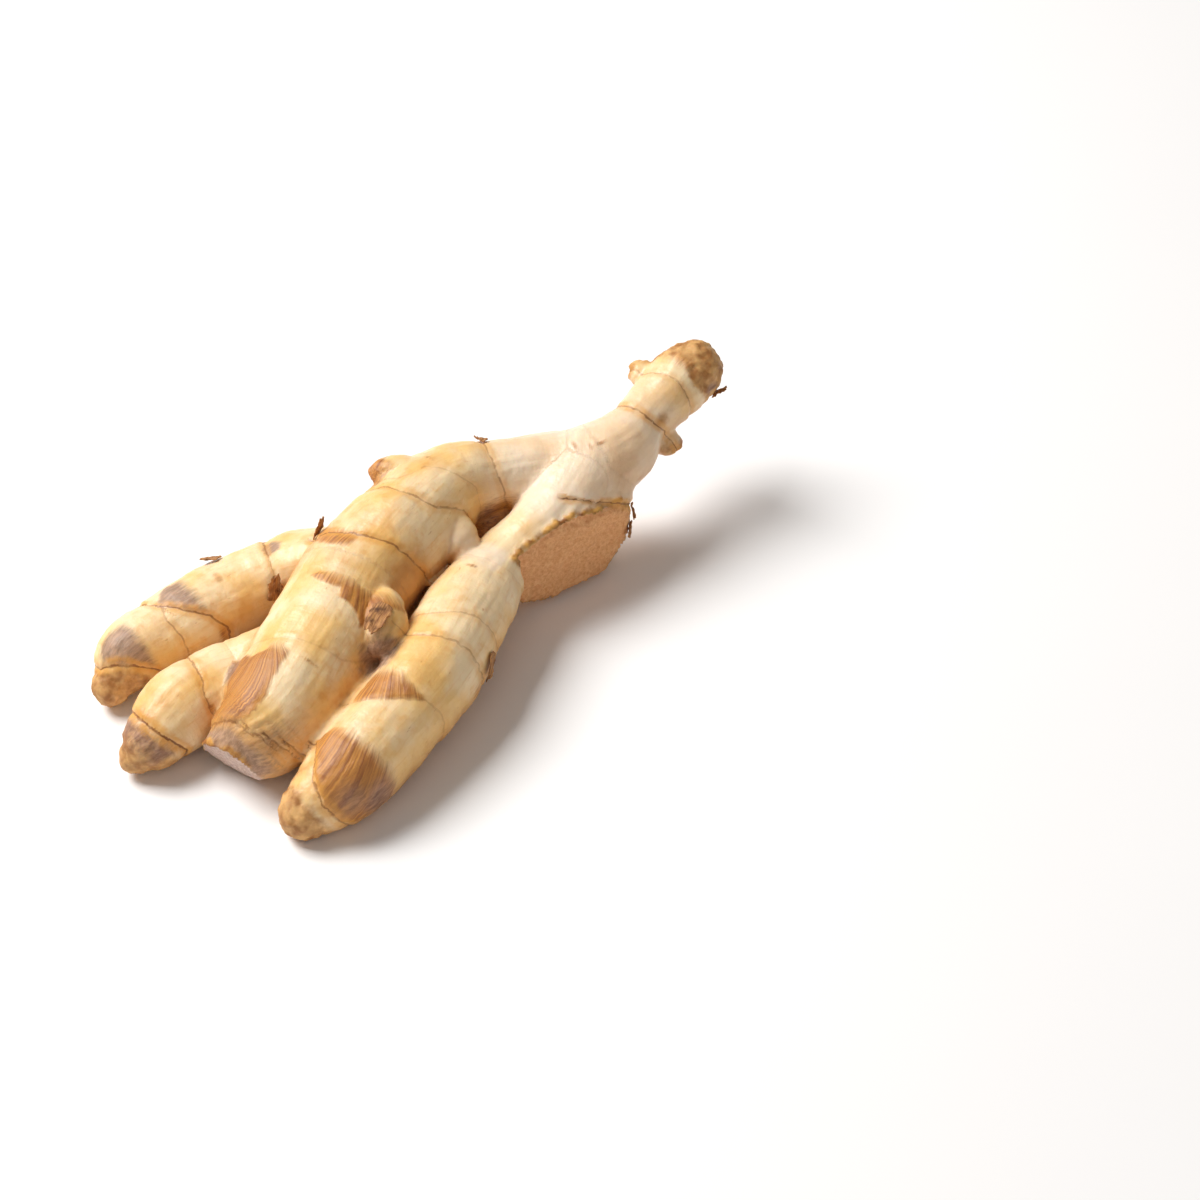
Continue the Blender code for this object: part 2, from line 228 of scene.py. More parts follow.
BUDS = (
    Bud("lobe", 1.0, (0, 0, 1), 0.0, 9.5, 18.5, (0.86, 0.5, 0.1), Joining.FLOWING),
    Bud("lobe", 0.6, (0, 0.1, -1), 0.7, 8.0, 9.5, (0, 0.1, -1), Joining.FLOWING),
    Bud("big_finger", 0.26, (0.9, -0.36, 0.42), 1.04, 5.8, 9.6, (-0.05, -1, -0.38), tip=Layer.DUSK),
    Bud("main_arm", 0.67, (0.78, -0.6, -0.1), 1.04, 5.0, 7.4, (0.1, -0.8, -0.6), tip=Layer.TENDER),
    Bud("main_arm", 0.31, (0.1, -0.45, -0.88), 1.24, 7.6, 12.0, (-0.8, -0.55, -0.2), tip=Layer.HUSK),
    Bud("main_arm", 0.67, (0.17, -0.55, -0.82), 1.55, 5.5, 12.0, (0.48, 0.87, 0.0), Joining.FLOWING),
    Bud("main_arm", 0.71, (-0.2, 0.8, 0.56), 0.95, 4.4, 9.0, (-0.9, -0.1, 0.1), tip=Layer.HUSK),
    Bud("stub", 0.86, (-0.95, 0.3, 0.1), 1.05, 4.0, 4.4, (-1, 0.3, 0.3), tip=Layer.CORK),
    Bud("stub", 0.46, (0.77, 0, -0.64), 1.1, 3.8, 4.6, (0.8, 0, -0.5), tip=Layer.HUSK),
    Bud("main_arm", 0.34, (0.2, 0.9, -0.4), 1.0, 5.0, 7.0, (-0.4, 0.9, -0.2), tip=Layer.CORK),
    Bud("rear_finger", 0.40, (0.1, 0.50, -0.86), 0.90, 4.8, 7.4, (-0.2, 0.4, -0.9), tip=Layer.CORK),
)

SCARS = (
    Scar("main_arm", ((0.36, -180), (0.33, -100), (0.35, -50), (0.36, -20), (0.37, 25), (0.40, 60),
                      (0.38, 120), (0.36, 180)), 0.5, torn=0.6),
    Scar("main_arm", ((0.47, -180), (0.44, -110), (0.46, -55), (0.53, -35), (0.59, 0), (0.69, 15),
                      (0.71, 60), (0.60, 120), (0.47, 180)), 0.22, groove=0.15, step=0.1),
    Scar("main_arm", ((0.62, -180), (0.56, -110), (0.60, -70), (0.71, -40), (0.72, -25), (0.74, 0),
                      (0.74, 25), (0.78, 70), (0.72, 130), (0.62, 180)), 0.55, torn=0.7),
    Scar("main_arm", ((0.90, -180), (0.86, -110), (0.90, -50), (0.92, -25), (0.95, 0), (0.97, 25),
                      (1.00, 60), (0.96, 120), (0.90, 180)), 0.7, groove=0.35, waist=0.5, step=0.45),
    Scar("big_finger", ((0.50, -180), (0.38, -80), (0.49, -50), (0.51, -5), (0.55, 40), (0.56, 100),
                        (0.50, 180)), 0.16, groove=0.15),
    Scar("big_finger", ((0.84, -180), (0.82, -90), (0.85, -50), (0.87, -12), (0.92, 15), (1.00, 65),
                        (0.95, 120), (0.84, 180)), 0.55, groove=0.35, step=0.5, torn=0.9),
    Scar("second_finger", round_ring(0.40, 0.02, 60), 0.2),
    Scar("second_finger", ((0.60, -180), (0.66, -120), (0.67, -65), (0.65, -40), (0.61, -15),
                           (0.59, 20), (0.57, 60), (0.58, 120), (0.60, 180)), 0.6, waist=0.45),
    Scar("second_finger", ((0.87, -180), (0.86, -100), (0.90, -50), (0.905, -15), (0.90, 15), (0.87, 60),
                           (0.86, 120), (0.87, 180)), 1.0, groove=0.5, step=0.5, torn=0.1),
    Scar("rear_finger", ((0.36, -180), (0.40, -110), (0.38, -60), (0.34, -45), (0.34, -20), (0.35, 15),
                         (0.35, 60), (0.35, 120), (0.36, 180)), 0.65, groove=0.35, step=-0.6, torn=0.5),
    Scar("rear_finger", ((0.64, -180), (0.60, -120), (0.60, -80), (0.64, -50), (0.70, -25), (0.755, 10),
                         (0.78, 45), (0.76, 100), (0.64, 180)), 0.8, groove=0.3, step=0.45),
    Scar("rear_finger", ((0.76, -180), (0.75, -110), (0.755, -55), (0.765, -25), (0.75, 0), (0.79, 60),
                         (0.80, 120), (0.76, 180)), 0.5, groove=0.2, step=0.15, torn=0.1),
    Scar("rear_finger", ((0.90, -180), (0.84, -100), (0.92, -60), (0.96, -10), (0.98, 20), (0.97, 60),
                         (0.95, 120), (0.90, 180)), 0.9, groove=0.4, step=0.4),
    Scar("front_finger", round_ring(0.34, 0.01, 30), 0.12, groove=0.12),
    Scar("front_finger", round_ring(0.51, 0.02, 60, 0.006), 0.3, groove=0.15, step=0.15),
    Scar("front_finger", round_ring(0.58, 0.012, 40, 0.006), 0.42, groove=0.2, step=0.25),
    Scar("front_finger", ((0.72, -180), (0.71, -120), (0.70, -70), (0.71, -40), (0.745, -10), (0.78, 30),
                          (0.79, 80), (0.76, 130), (0.72, 180)), 0.25, groove=0.15, step=0.35),
    Scar("front_finger", ((0.93, 180), (0.90, 110), (0.89, 55), (0.92, 32), (0.955, 0), (0.97, -45),
                          (0.96, -95), (0.93, -180)), 0.7, groove=0.3, step=0.4),
    Scar("stub", ((0.50, -180), (0.46, -110), (0.45, -50), (0.45, 0), (0.46, 45), (0.51, 95),
                  (0.52, 140), (0.50, 180)), 0.75, groove=0.35, waist=0.4, step=-0.3, torn=0.4),
    Scar("stub", round_ring(0.74, 0.03, 30, 0.01), 0.45, torn=1.0),
    Scar("lobe", ((0.80, 60), (0.69, 30), (0.64, 15), (0.53, 0), (0.41, -20), (0.35, -75),
                  (0.34, -110)), 0.8, groove=0.5, waist=0.2, step=0.5, torn=0.4, loose=0.5),
)

PATCHES = (
    Patch(Layer.HUSK, "front_finger", (
        (0.885, 58), (0.86, 38), (0.845, 5), (0.845, -25), (0.85, -50), (0.84, -78), (0.87, -112),
        (0.94, -112), (0.965, -85), (0.97, -50), (0.955, -10), (0.93, 22)),
        fade=4.0, swell=0.2, root=(0.70, 20)),
    Patch(Layer.HUSK, "front_finger", (
        (0.785, 42), (0.73, 46), (0.69, 42), (0.68, 15), (0.70, -5), (0.71, -38), (0.735, -18),
        (0.765, 8)), soft=0.9, fade=5.0, root=(0.62, 45)),
    Patch(Layer.HUSK, "big_finger", (
        (0.54, 14), (0.58, -1), (0.68, -3), (0.77, -5), (0.84, -12), (0.89, -8), (0.96, 30), (0.97, 66),
        (0.90, 72), (0.78, 62), (0.68, 74), (0.61, 76), (0.60, 62), (0.635, 38), (0.60, 20)),
        soft=0.7, fade=5.0, swell=0.2, root=(0.50, 22)),
    Patch(Layer.HUSK, "big_finger", (
        (0.20, 22), (0.16, 8), (0.15, -15), (0.17, -32), (0.13, -55), (0.18, -66), (0.22, -52),
        (0.28, -54), (0.33, -46), (0.29, -38), (0.27, -26), (0.26, -16), (0.22, -10), (0.22, 5)),
        fade=5.0, swell=0.35, root=(-0.2, 0)),
    Patch(Layer.HUSK, "main_arm", (
        (1.03, 50), (0.96, 55), (0.94, 20), (0.95, 0), (1.00, 0), (1.03, 18)), soft=1.0, fade=2.5),
    Patch(Layer.DUSK, "rear_finger", (
        (0.755, 10), (0.70, 36), (0.62, 28), (0.63, -5), (0.63, -30), (0.64, -42), (0.70, -25)),
        soft=0.8, fade=4.0),
    Patch(Layer.DUSK, "rear_finger", (
        (0.36, 5), (0.34, 18), (0.28, 0), (0.29, -12), (0.34, -12)), soft=0.8),
    Patch(Layer.DUSK, "rear_finger", (
        (0.86, 12), (0.90, 24), (0.95, 24), (0.965, 10), (0.955, -30), (0.90, -66), (0.85, -80),
        (0.86, -50), (0.87, -25)), soft=1.6, fade=3.0),
    Patch(Layer.CORK, "rear_finger", (
        (0.975, 180), (0.975, 60), (0.985, 15), (0.965, -20), (0.93, -70), (0.90, -110), (0.93, -180),
        (1.3, -180), (1.3, 180)), soft=0.8),
    Patch(Layer.CORK, "second_finger", (
        (0.90, 180), (0.90, 60), (0.925, 0), (0.925, -50), (0.90, -110), (0.90, -180), (1.4, -180),
        (1.4, 180)), soft=0.8),
    Patch(Layer.DUSK, "second_finger", (
        (0.905, 60), (0.912, 0), (0.915, -40), (0.90, -80), (0.96, -80), (0.97, 60)), soft=1.6),
    Patch(Layer.DUSK, "big_finger", (
        (0.99, 66), (0.92, 18), (0.87, -10), (0.85, -50), (0.87, -95), (0.97, -95), (1.1, -60),
        (1.2, 0), (1.1, 66)), soft=2.6, fade=1.5),
    Patch(Layer.CORK, "front_finger", (
        (1.0, 180), (0.99, 60), (0.985, 20), (0.99, -50), (0.98, -110), (0.99, -180), (1.3, -180),
        (1.3, 180)), soft=1.4),
    Patch(Layer.CORK, "stub", (
        (0.90, 180), (0.93, 100), (0.86, 60), (0.93, 20), (0.90, -20), (0.80, -60), (0.76, -110),
        (0.85, -180), (1.5, -180), (1.5, 180)), soft=1.4),
)

BLOTS = (
    Blot(Layer.DUSK, "front_finger", 0.89, -92, 6.0, 7.0, 1.0),
    Blot(Layer.DUSK, "front_finger", 0.93, -62, 5.0, 7.0, 0.75),
    Blot(Layer.AMBER, "front_finger", 0.86, 22, 7.0, 6.0, 0.9),
    Blot(Layer.AMBER, "front_finger", 0.78, -38, 4.0, 3.0, 0.7),
    Blot(Layer.CORK, "front_finger", 0.97, 60, 7.0, 9.0, 0.7),
    Blot(Layer.AMBER, "front_finger", 0.96, 20, 7.0, 11.0, 1.0),
    Blot(Layer.HUSK, "front_finger", 0.385, 8, 0.9, 2.4, 0.85),
    Blot(Layer.HUSK, "front_finger", 0.60, -100, 2.6, 3.0, 0.7),
    Blot(Layer.AMBER, "front_finger", 0.50, 10, 9.0, 5.0, 0.55),
    Blot(Layer.AMBER, "front_finger", 0.36, -30, 7.0, 5.0, 0.6),
    Blot(Layer.AMBER, "front_finger", 0.65, -20, 9.0, 5.0, 0.5),
    Blot(Layer.DUSK, "big_finger", 0.67, 72, 5.5, 3.4, 1.0),
    Blot(Layer.DUSK, "big_finger", 0.93, -8, 6.0, 9.0, 1.0),
    Blot(Layer.DUSK, "big_finger", 0.88, -48, 6.0, 8.0, 0.9),
    Blot(Layer.DUSK, "big_finger", 1.00, 55, 5.0, 8.0, 0.8),
    Blot(Layer.CORK, "big_finger", 1.00, 10, 6.0, 14.0, 0.5),
    Blot(Layer.HUSK, "big_finger", 0.585, -25, 0.8, 4.2, 0.7),
    Blot(Layer.AMBER, "big_finger", 0.72, -60, 14.0, 9.0, 0.8),
    Blot(Layer.AMBER, "big_finger", 0.66, 30, 14.0, 9.0, 0.7),
    Blot(Layer.AMBER, "big_finger", 0.18, -5, 4.0, 9.0, 0.6),
    Blot(Layer.AMBER, "big_finger", 0.50, -75, 16.0, 7.0, 0.8),
    Blot(Layer.AMBER, "second_finger", 0.82, 10, 6.0, 7.0, 0.9),
    Blot(Layer.AMBER, "second_finger", 0.62, -10, 3.0, 9.0, 0.6),
    Blot(Layer.HUSK, "second_finger", 0.885, 15, 1.8, 4.5, 0.8),
    Blot(Layer.HUSK, "second_finger", 0.66, -62, 1.3, 1.8, 1.0),
    Blot(Layer.HUSK, "second_finger", 0.61, -12, 0.9, 1.0, 0.6),
    Blot(Layer.DUSK, "second_finger", 0.94, -20, 3.0, 9.0, 0.8),
    Blot(Layer.AMBER, "rear_finger", 0.82, -20, 8.0, 7.0, 0.7),
    Blot(Layer.AMBER, "rear_finger", 0.58, -60, 10.0, 7.0, 0.7),
    Blot(Layer.HUSK, "rear_finger", 0.55, -5, 1.4, 3.0, 0.75),
    Blot(Layer.HUSK, "rear_finger", 0.62, -85, 2.0, 3.0, 0.9),
    Blot(Layer.AMBER, "main_arm", 0.86, 0, 9.0, 11.0, 0.8),
    Blot(Layer.AMBER, "main_arm", 0.62, 10, 9.0, 9.0, 0.75),
    Blot(Layer.AMBER, "main_arm", 0.42, -60, 12.0, 8.0, 0.9),
    Blot(Layer.AMBER, "main_arm", 1.08, 0, 5.0, 11.0, 0.65),
    Blot(Layer.AMBER, "main_arm", 0.50, 20, 9.0, 4.0, 0.45),
    Blot(Layer.HUSK, "main_arm", 0.56, 12, 0.7, 3.0, 0.65),
    Blot(Layer.TENDER, "main_arm", 0.70, -92, 6.0, 7.0, 0.95, 1.0),
    Blot(Layer.HUSK, "main_arm", 0.36, -112, 10.0, 8.0, 1.0),
    Blot(Layer.DUSK, "main_arm", 0.42, -105, 6.0, 5.0, 0.9),
    Blot(Layer.CORK, "main_arm", 0.72, 70, 6.0, 4.0, 0.8),
    Blot(Layer.HUSK, "main_arm", 0.69, 57, 2.0, 3.6, 1.0),
    Blot(Layer.CORK, "stub", 0.53, 60, 3.5, 4.5, 0.8),
    Blot(Layer.CORK, "stub", 0.47, 125, 4.0, 4.0, 0.8),
    Blot(Layer.DUSK, "stub", 1.00, 95, 2.6, 3.0, 1.0),
    Blot(Layer.HUSK, "stub", 0.93, 10, 3.0, 5.0, 0.7),
    Blot(Layer.HUSK, "stub", -0.03, 5, 0.9, 2.6, 0.75, 1.0),
    Blot(Layer.HUSK, "stub", 0.05, 18, 0.8, 2.0, 0.7, 1.0),
    Blot(Layer.HUSK, "stub", 0.12, 20, 2.2, 0.8, 0.75, 1.0),
    Blot(Layer.AMBER, "stub", 0.05, 15, 5.0, 6.0, 0.75, 1.0),
    Blot(Layer.AMBER, "stub", 0.70, 30, 6.0, 8.0, 0.6),
)


@dataclass(frozen=True)
class BareFace:
    """A flat face where flesh shows, cut by a block that stands on it."""

    layer: Layer
    limb: str
    looks: tuple
    past: float             # how far past the limb's last place, in radii there
    aside: float            # how far the block is moved across, mm
    size: tuple             # the block's width, depth and height, mm
    rough: float            # height of its waves, mm


BARE_FACES = (
    BareFace(Layer.BROKEN, "lobe", (0.58, -0.81, -0.05), 0.0, 18.5, (74, 74, 37), 0.7),
    BareFace(Layer.CUT, "big_finger", (-0.44, -0.66, -0.36), 0.10, 0.0, (17, 17, 8.5), 0.15),
)


def rest_matrix() -> Matrix:
    """The turn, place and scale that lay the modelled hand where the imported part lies."""
    low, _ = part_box("rhizome")
    return Matrix.Translation(low + CROWN_IN_BOX * MM) @ REST_TILT.to_matrix().to_4x4() @ Matrix.Scale(MM, 4)


def new_object(name: str, bm: bmesh.types.BMesh) -> bpy.types.Object:
    """Turn a bmesh into a named object in the scene.

    Args:
        name: The object's name.
        bm: Its mesh, which is freed.

    Returns:
        The new object.
    """
    mesh = bpy.data.meshes.new(name)
    bm.to_mesh(mesh)
    bm.free()
    item = bpy.data.objects.new(name, mesh)
    bpy.context.scene.collection.objects.link(item)
    return item


def take_bmesh(item: bpy.types.Object) -> bmesh.types.BMesh:
    """Take a scratch object's mesh with its modifiers, and remove the object.

    Args:
        item: The scratch object.

    Returns:
        Its finished mesh.
    """
    bm = bmesh.new()
    bm.from_object(item, bpy.context.evaluated_depsgraph_get())
    bpy.data.objects.remove(item, do_unlink=True)
    return bm


def smooth_step(value: np.ndarray, low: float, high: float) -> np.ndarray:
    """Ease from 0 at low to 1 at high."""
    share = np.clip((value - low) / (high - low), 0, 1)
    return share * share * (3 - 2 * share)


def waves(points: np.ndarray, size: float, seed: float) -> np.ndarray:
    """Smooth random waves over a mesh.

    Args:
        points: Where to read them, mm.
        size: Width of one wave, mm.
        seed: Picks the pattern.

    Returns:
        A height from about -1 to 1 for each point.
    """
    shift = Vector([seed * part for part in WAVE_SHIFT])
    return np.array([noise.noise(Vector(point) / size + shift) for point in points]) * WAVE_GAIN


def limb_run(values: list, steps: int) -> list:
    """Values along a smooth (Catmull-Rom) curve through the given numbers or vectors.

    Args:
        values: The given values.
        steps: Steps from each to the next.

    Returns:
        All the values along the curve.
    """
    padded = [values[0], *values, values[-1]]
    run = []
    for a, b, c, d in zip(padded, padded[1:], padded[2:], padded[3:]):
        for t in (step / steps for step in range(steps)):
            run.append(0.5 * (2 * b + (c - a) * t + (2 * a - 5 * b + 4 * c - d) * t * t
                              + (3 * b - a - 3 * c + d) * t * t * t))
    return [*run, values[-1]]


@dataclass
class Skeleton:
    """The limbs' centrelines, and where points of the skin lie along and round them."""

    steps: int = 8
    points: dict = field(default_factory=dict)
    radii: dict = field(default_factory=dict)

    def build(self) -> None:
        """Grow every limb from where it leaves its parent."""
        for name, limb in LIMBS.items():
            start = self.place(limb.parent, limb.parent_share)[0] if limb.parent else Vector()
            route = limb_run([Vector(place) for place in limb.route], self.steps)
            unit = limb.length / sum((b - a).length for a, b in zip(route, route[1:]))
            self.points[name] = [start + point * unit for point in route]
            self.radii[name] = limb_run([share * limb.width / 2 for share in limb.fatness], self.steps)

    def place(self, name: str, share: float) -> tuple:
        """Find the centreline at a share of a limb's length.

        Args:
            name: The limb.
            share: How far along it.

        Returns:
            The point, the direction and the limb's radius there.
        """
        points, radii = self.points[name], self.radii[name]
        left = share * LIMBS[name].length
        for index, (a, b) in enumerate(zip(points, points[1:])):
            span = (b - a).length
            if left <= span or index == len(points) - 2:
                t = left / span
                radius = radii[index] + (radii[index + 1] - radii[index]) * t
                return a.lerp(b, t), (b - a).normalized(), radius
            left -= span
        raise ValueError(name)

    def bud_place(self, bud: Bud) -> tuple:
        """Find where a bud sits.

        Args:
            bud: The bud.

        Returns:
            Its middle and its tip.
        """
        point, _, radius = self.place(bud.limb, bud.share)
        middle = point + Vector(bud.side).normalized() * radius * bud.out
        return middle, middle + Vector(bud.points).normalized() * bud.length

    def unroll(self, name: str, skin: np.ndarray) -> tuple:
        """Find where points lie along and round a limb.

        Args:
            name: The limb.
            skin: The points, mm.

        Returns:
            Four arrays: the share of the limb's length, the degrees from its upper side, the
            distance from its centreline in mm, and that distance in radii.
        """
        line = np.array(self.points[name])
        radii = np.array(self.radii[name])
        ahead = np.diff(line, axis=0)
        spans = np.linalg.norm(ahead, axis=1)
        ahead /= spans[:, None]
        run = np.concatenate(([0.0], np.cumsum(spans)[:-1]))
        best = np.full(len(skin), np.inf)
        share, around, radius = np.zeros((3, len(skin)))
        upper = np.array([UP - Vector(way) * way[2] for way in ahead])
        upper /= np.linalg.norm(upper, axis=1)[:, None]
        aside = np.cross(ahead, upper)
        for index in range(len(spans)):
            offset = skin - line[index]
            reach = np.clip(offset @ ahead[index], 0, spans[index])
            offset = offset - reach[:, None] * ahead[index]
            far = np.linalg.norm(offset, axis=1)
            nearer = far < best
            best = np.where(nearer, far, best)
            along = run[index] + reach + offset @ ahead[index]
            share = np.where(nearer, along / spans.sum(), share)
            around = np.where(nearer, np.degrees(np.arctan2(offset @ aside[index], offset @ upper[index])),
                              around)
            here = radii[index] + (radii[index + 1] - radii[index]) * reach / spans[index]
            radius = np.where(nearer, here, radius)
        return share, around, best, best / radius


def to_run(flat: np.ndarray, places: np.ndarray) -> np.ndarray:
    """Distance from flat points to a run of straight pieces.

    Args:
        flat: The points.
        places: The run's corners.

    Returns:
        A distance for each point.
    """
    best = np.full(len(flat), np.inf)
    for a, b in zip(places, places[1:]):
        span = b - a
        share = np.clip(((flat - a) @ span) / max(span @ span, 1e-9), 0, 1)
        best = np.minimum(best, np.linalg.norm(flat - a - share[:, None] * span, axis=1))
    return best


def within(flat: np.ndarray, places: np.ndarray) -> np.ndarray:
    """Say which flat points lie inside a closed outline.

    Args:
        flat: The points.
        places: The outline's corners.

    Returns:
        True for each point inside.
    """
    inside = np.zeros(len(flat), bool)
    for a, b in zip(places, np.roll(places, -1, axis=0)):
        crosses = (a[1] > flat[:, 1]) != (b[1] > flat[:, 1])
        rise = b[1] - a[1] if abs(b[1] - a[1]) > 1e-9 else 1e-9
        edge = a[0] + (flat[:, 1] - a[1]) * (b[0] - a[0]) / rise
        inside ^= crosses & (flat[:, 0] < edge)
    return inside


def signed(share: np.ndarray) -> np.ndarray:
    """Turn a cover from 0 to 1 into a layer's value from -1 to 1."""
    return 2 * share - 1


# The skin's relief, as waves of a size (mm), a seed and a height (mm).  Swells spread evenly, and
# furrows follow the limb, so their size is given along, round and into it.
SWELLS = ((15.0, 1.0, 0.45), (6.0, 2.0, 0.2))
FURROWS = (((9.0, 1.7, 1.7), 7.0, 0.10), ((2.4, 7.0, 7.0), 8.0, 0.09))
# Waves that fray and wrinkle whatever is drawn on the skin: their size (mm) and their seed.
FINE = (2.2, 3.0)
FINER = (1.3, 4.0)


@dataclass
class SkinMap:
    """The skin's points, unrolled along every limb, with the relief and layers drawn on them.

    A pair of numbers that is only named says where a smooth step starts and ends.
    """

    skeleton: Skeleton
    skin: np.ndarray
    facing: np.ndarray
    plump: float = 0.35             # mm that the whole skin stands out
    claim: tuple = (0.066, 0.22)    # radii by which another limb may be nearer while marks fade
    least_claim: float = 0.1        # the claim below which a scar's line isn't kept
    line_reach: float = 2.6         # mm from a scar at which its line is forgotten
    layer_reach: float = 6.0        # how far past full or none a layer is kept
    fan_radius: float = 16.0        # mm from a husk's root at which its fibres are full width
    limb_shift: float = 300.0       # mm between the grains of two limbs, so that they differ
    flat_radius: float = 0.47       # of a limb's width, the radius at which degrees become mm

    groove_width: float = 0.6       # mm
    step_width: float = 1.7         # mm
    waist_width: float = 3.4        # mm
    step_dip: float = 0.3           # share of a step by which the skin past it sinks
    ragged: tuple = (0.8, 0.6)      # shares of the fine and the finer waves in a torn scar
    ragged_limits: tuple = (0.1, 2.2)

    frayed: float = 0.35            # mm that a patch's edge wanders
    proud_edge: tuple = (-0.2, 0.8)     # mm inside the edge
    blot_depth: float = 1.6         # how far below its edge a layer lies where a blot ends
    tip_at: float = 0.9             # middle of a bud's weathered tip, as a share of its length
    tip_reach: float = 0.85         # share of the bud's length
    tip_gain: float = 4.2
    tip_depth: float = 2.4
    tip_wrinkles: tuple = (0.25, 0.15)      # mm, in fine and in finer waves

    young: tuple = (12, 44)         # mm from the crown
    # Painted shade: ochre darkening laid in the folds between limbs and on skin that faces down, less where
    # the skin faces up.
    fold_shade: tuple = (1.02, 1.55)      # radii from the next limb's centreline, over which the painted fold shade fades
    top: tuple = (0.35, 0.85)       # how far up the skin looks
    under: tuple = (-0.45, 0.75)    # how far down the skin looks, for the painted shade underneath
    top_unshaded: float = 0.75          # share of a fold's painted shade that upward-facing skin lacks
    young_unshaded: float = 0.6        # share of a fold's painted shade that young skin lacks
    # the most painted shade that downward-facing skin gets
    under_shade: float = 0.8

    flesh_facing: tuple = (0.55, 0.85)
    flesh_depth: float = 0.8        # mm beside the flat face that still count as flesh
    face_reach: float = 0.6         # share of the face's size
    grit: tuple = ((1.5, 5.0, 0.4), (4.0, 6.0, 0.5))    # as SWELLS, in the flesh's roughness
    lip_width: float = 1.8          # mm
    lip_top: tuple = (-0.2, 0.4)    # how far up the skin looks
    lip_curl: float = 1.4           # how unevenly the lip stands up
    rim_gain: float = 3.4
    rim_depth: float = 1.3
    rim_fray: float = 0.6

    bark_edge: tuple = (-0.5, 1.0)
    bark_crackle: float = 0.20      # mm
    skin_crackle: float = 0.05      # mm

    def __post_init__(self) -> None:
        """Unroll the points, and find whose skin they are."""
        names = list(LIMBS)
        self.unrolled = {name: self.skeleton.unroll(name, self.skin) for name in names}
        reaches = np.stack([self.unrolled[name][3] for name in names])
        owner, everyone = reaches.argmin(axis=0), np.arange(len(self.skin))
        self.nearest, self.runner_up = np.sort(reaches, axis=0)[:2]
        share, turn, far = (np.stack([self.unrolled[name][part] for name in names])[owner, everyone]
                            for part in range(3))
        length = np.array([LIMBS[name].length for name in names])[owner]
        turn = np.radians(turn)
        self.grain = np.stack((share * length + owner * self.limb_shift, far * np.cos(turn),
                               far * np.sin(turn)), axis=1)
        self.fan = self.grain.copy()
        self.line = np.full(len(self.skin), self.layer_reach)
        self.stain = np.zeros(len(self.skin))
        self.layers = {layer: np.full(len(self.skin), -self.layer_reach) for layer in Layer}
        self.fine = waves(self.skin, *FINE)
        self.finer = waves(self.skin, *FINER)
        self.height = np.full(len(self.skin), self.plump)
        for size, seed, height in SWELLS:
            self.height += waves(self.skin, size, seed) * height
        for size, seed, height in FURROWS:
            self.height += waves(self.grain / size, 1.0, seed) * height

    def flatten(self, name: str, places: tuple) -> tuple:
        """Lay the skin and some places of a limb out flat.

        Args:
            name: The limb.
            places: (share, degrees) places on it.

        Returns:
            The flat coordinates of the skin's points and of the places, mm.
        """
        limb = LIMBS[name]
        share, around = self.unrolled[name][:2]
        girth = math.radians(1) * limb.width * self.flat_radius
        turns = [turn for _, turn in places]
        middle = (min(turns) + max(turns)) / 2
        wrapped = (around - middle + 180) % 360 - 180 + middle
        flat = np.stack((share * limb.length, wrapped * girth), axis=1)
        return flat, np.array([(at * limb.length, turn * girth) for at, turn in places])

    def owned(self, name: str, loose: float = 0.0) -> np.ndarray:
        """Work out how surely each point of the skin is a limb's own.

        Args:
            name: The limb.
            loose: Radii by which another limb may be nearer.

        Returns:
            A share from 0 to 1 for each point.
        """
        over = self.unrolled[name][3] - self.nearest - loose
        return 1 - smooth_step(over, *self.claim)

    def lay(self, layer: Layer, value: np.ndarray) -> None:
        """Add to a layer wherever the value is the greater."""
        kept = np.clip(value, -self.layer_reach, self.layer_reach)
        self.layers[layer] = np.maximum(self.layers[layer], kept)

    def draw_scar(self, scar: Scar) -> None:
        """Groove and step the skin along a scar, and keep how far its line is.

        Args:
            scar: The scar.
        """
        flat, places = self.flatten(scar.limb, scar.places)
        claim = self.owned(scar.limb, scar.loose)
        far = to_run(flat, places)
        order = places[:, 1].argsort()
        behind = np.interp(flat[:, 1], places[order, 1], places[order, 0]) > flat[:, 0]
        tears = self.ragged[0] * self.fine + self.ragged[1] * self.finer
        ragged = np.clip(1 + scar.torn * tears, *self.ragged_limits)
        narrow = np.exp(-(far / self.groove_width) ** 2)
        ridge = np.exp(-far / self.step_width) * (1 - narrow) * np.where(behind, 1, -self.step_dip)
        self.height += claim * (scar.step * ridge * ragged - scar.groove * narrow * ragged
                                - scar.waist * np.exp(-(far / self.waist_width) ** 2))
        closer = (far < np.abs(self.line)) & (claim > self.least_claim)
        self.line = np.where(closer, np.where(behind, -far, far), self.line)
        fading = scar.stain * claim * (1 - smooth_step(far, self.line_reach / 2, self.line_reach))
        self.stain = np.where(closer, fading, self.stain)

    def draw_patch(self, patch: Patch) -> None:
        """Lay a patch's layer, raise it, and turn the fibres of a husk to fan out from its root.

        Args:
            patch: The patch.
        """
        flat, places = self.flatten(patch.limb, patch.places)
        claim = self.owned(patch.limb)
        far = to_run(flat, np.vstack((places, places[:1])))
        far = np.where(within(flat, places), far, -far) + self.frayed * self.fine
        value = far / patch.soft
        if patch.fade:
            value = np.minimum(value, signed((flat[:, 0] - places[:, 0].min()) / patch.fade))
        self.lay(patch.layer, np.minimum(value, 2 * signed(claim)))
        self.height += patch.swell * smooth_step(far, *self.proud_edge) * claim
        if patch.root:
            _, root = self.flatten(patch.limb, (patch.root,))
            spoke = flat - root[0]
            turn = np.arctan2(spoke[:, 1], spoke[:, 0])
            fan = np.stack((np.linalg.norm(spoke, axis=1), turn * self.fan_radius, 0 * turn), axis=1)
            here = (far > -2 * patch.soft) & (claim > 0)
            self.fan = np.where(here[:, None], fan, self.fan)

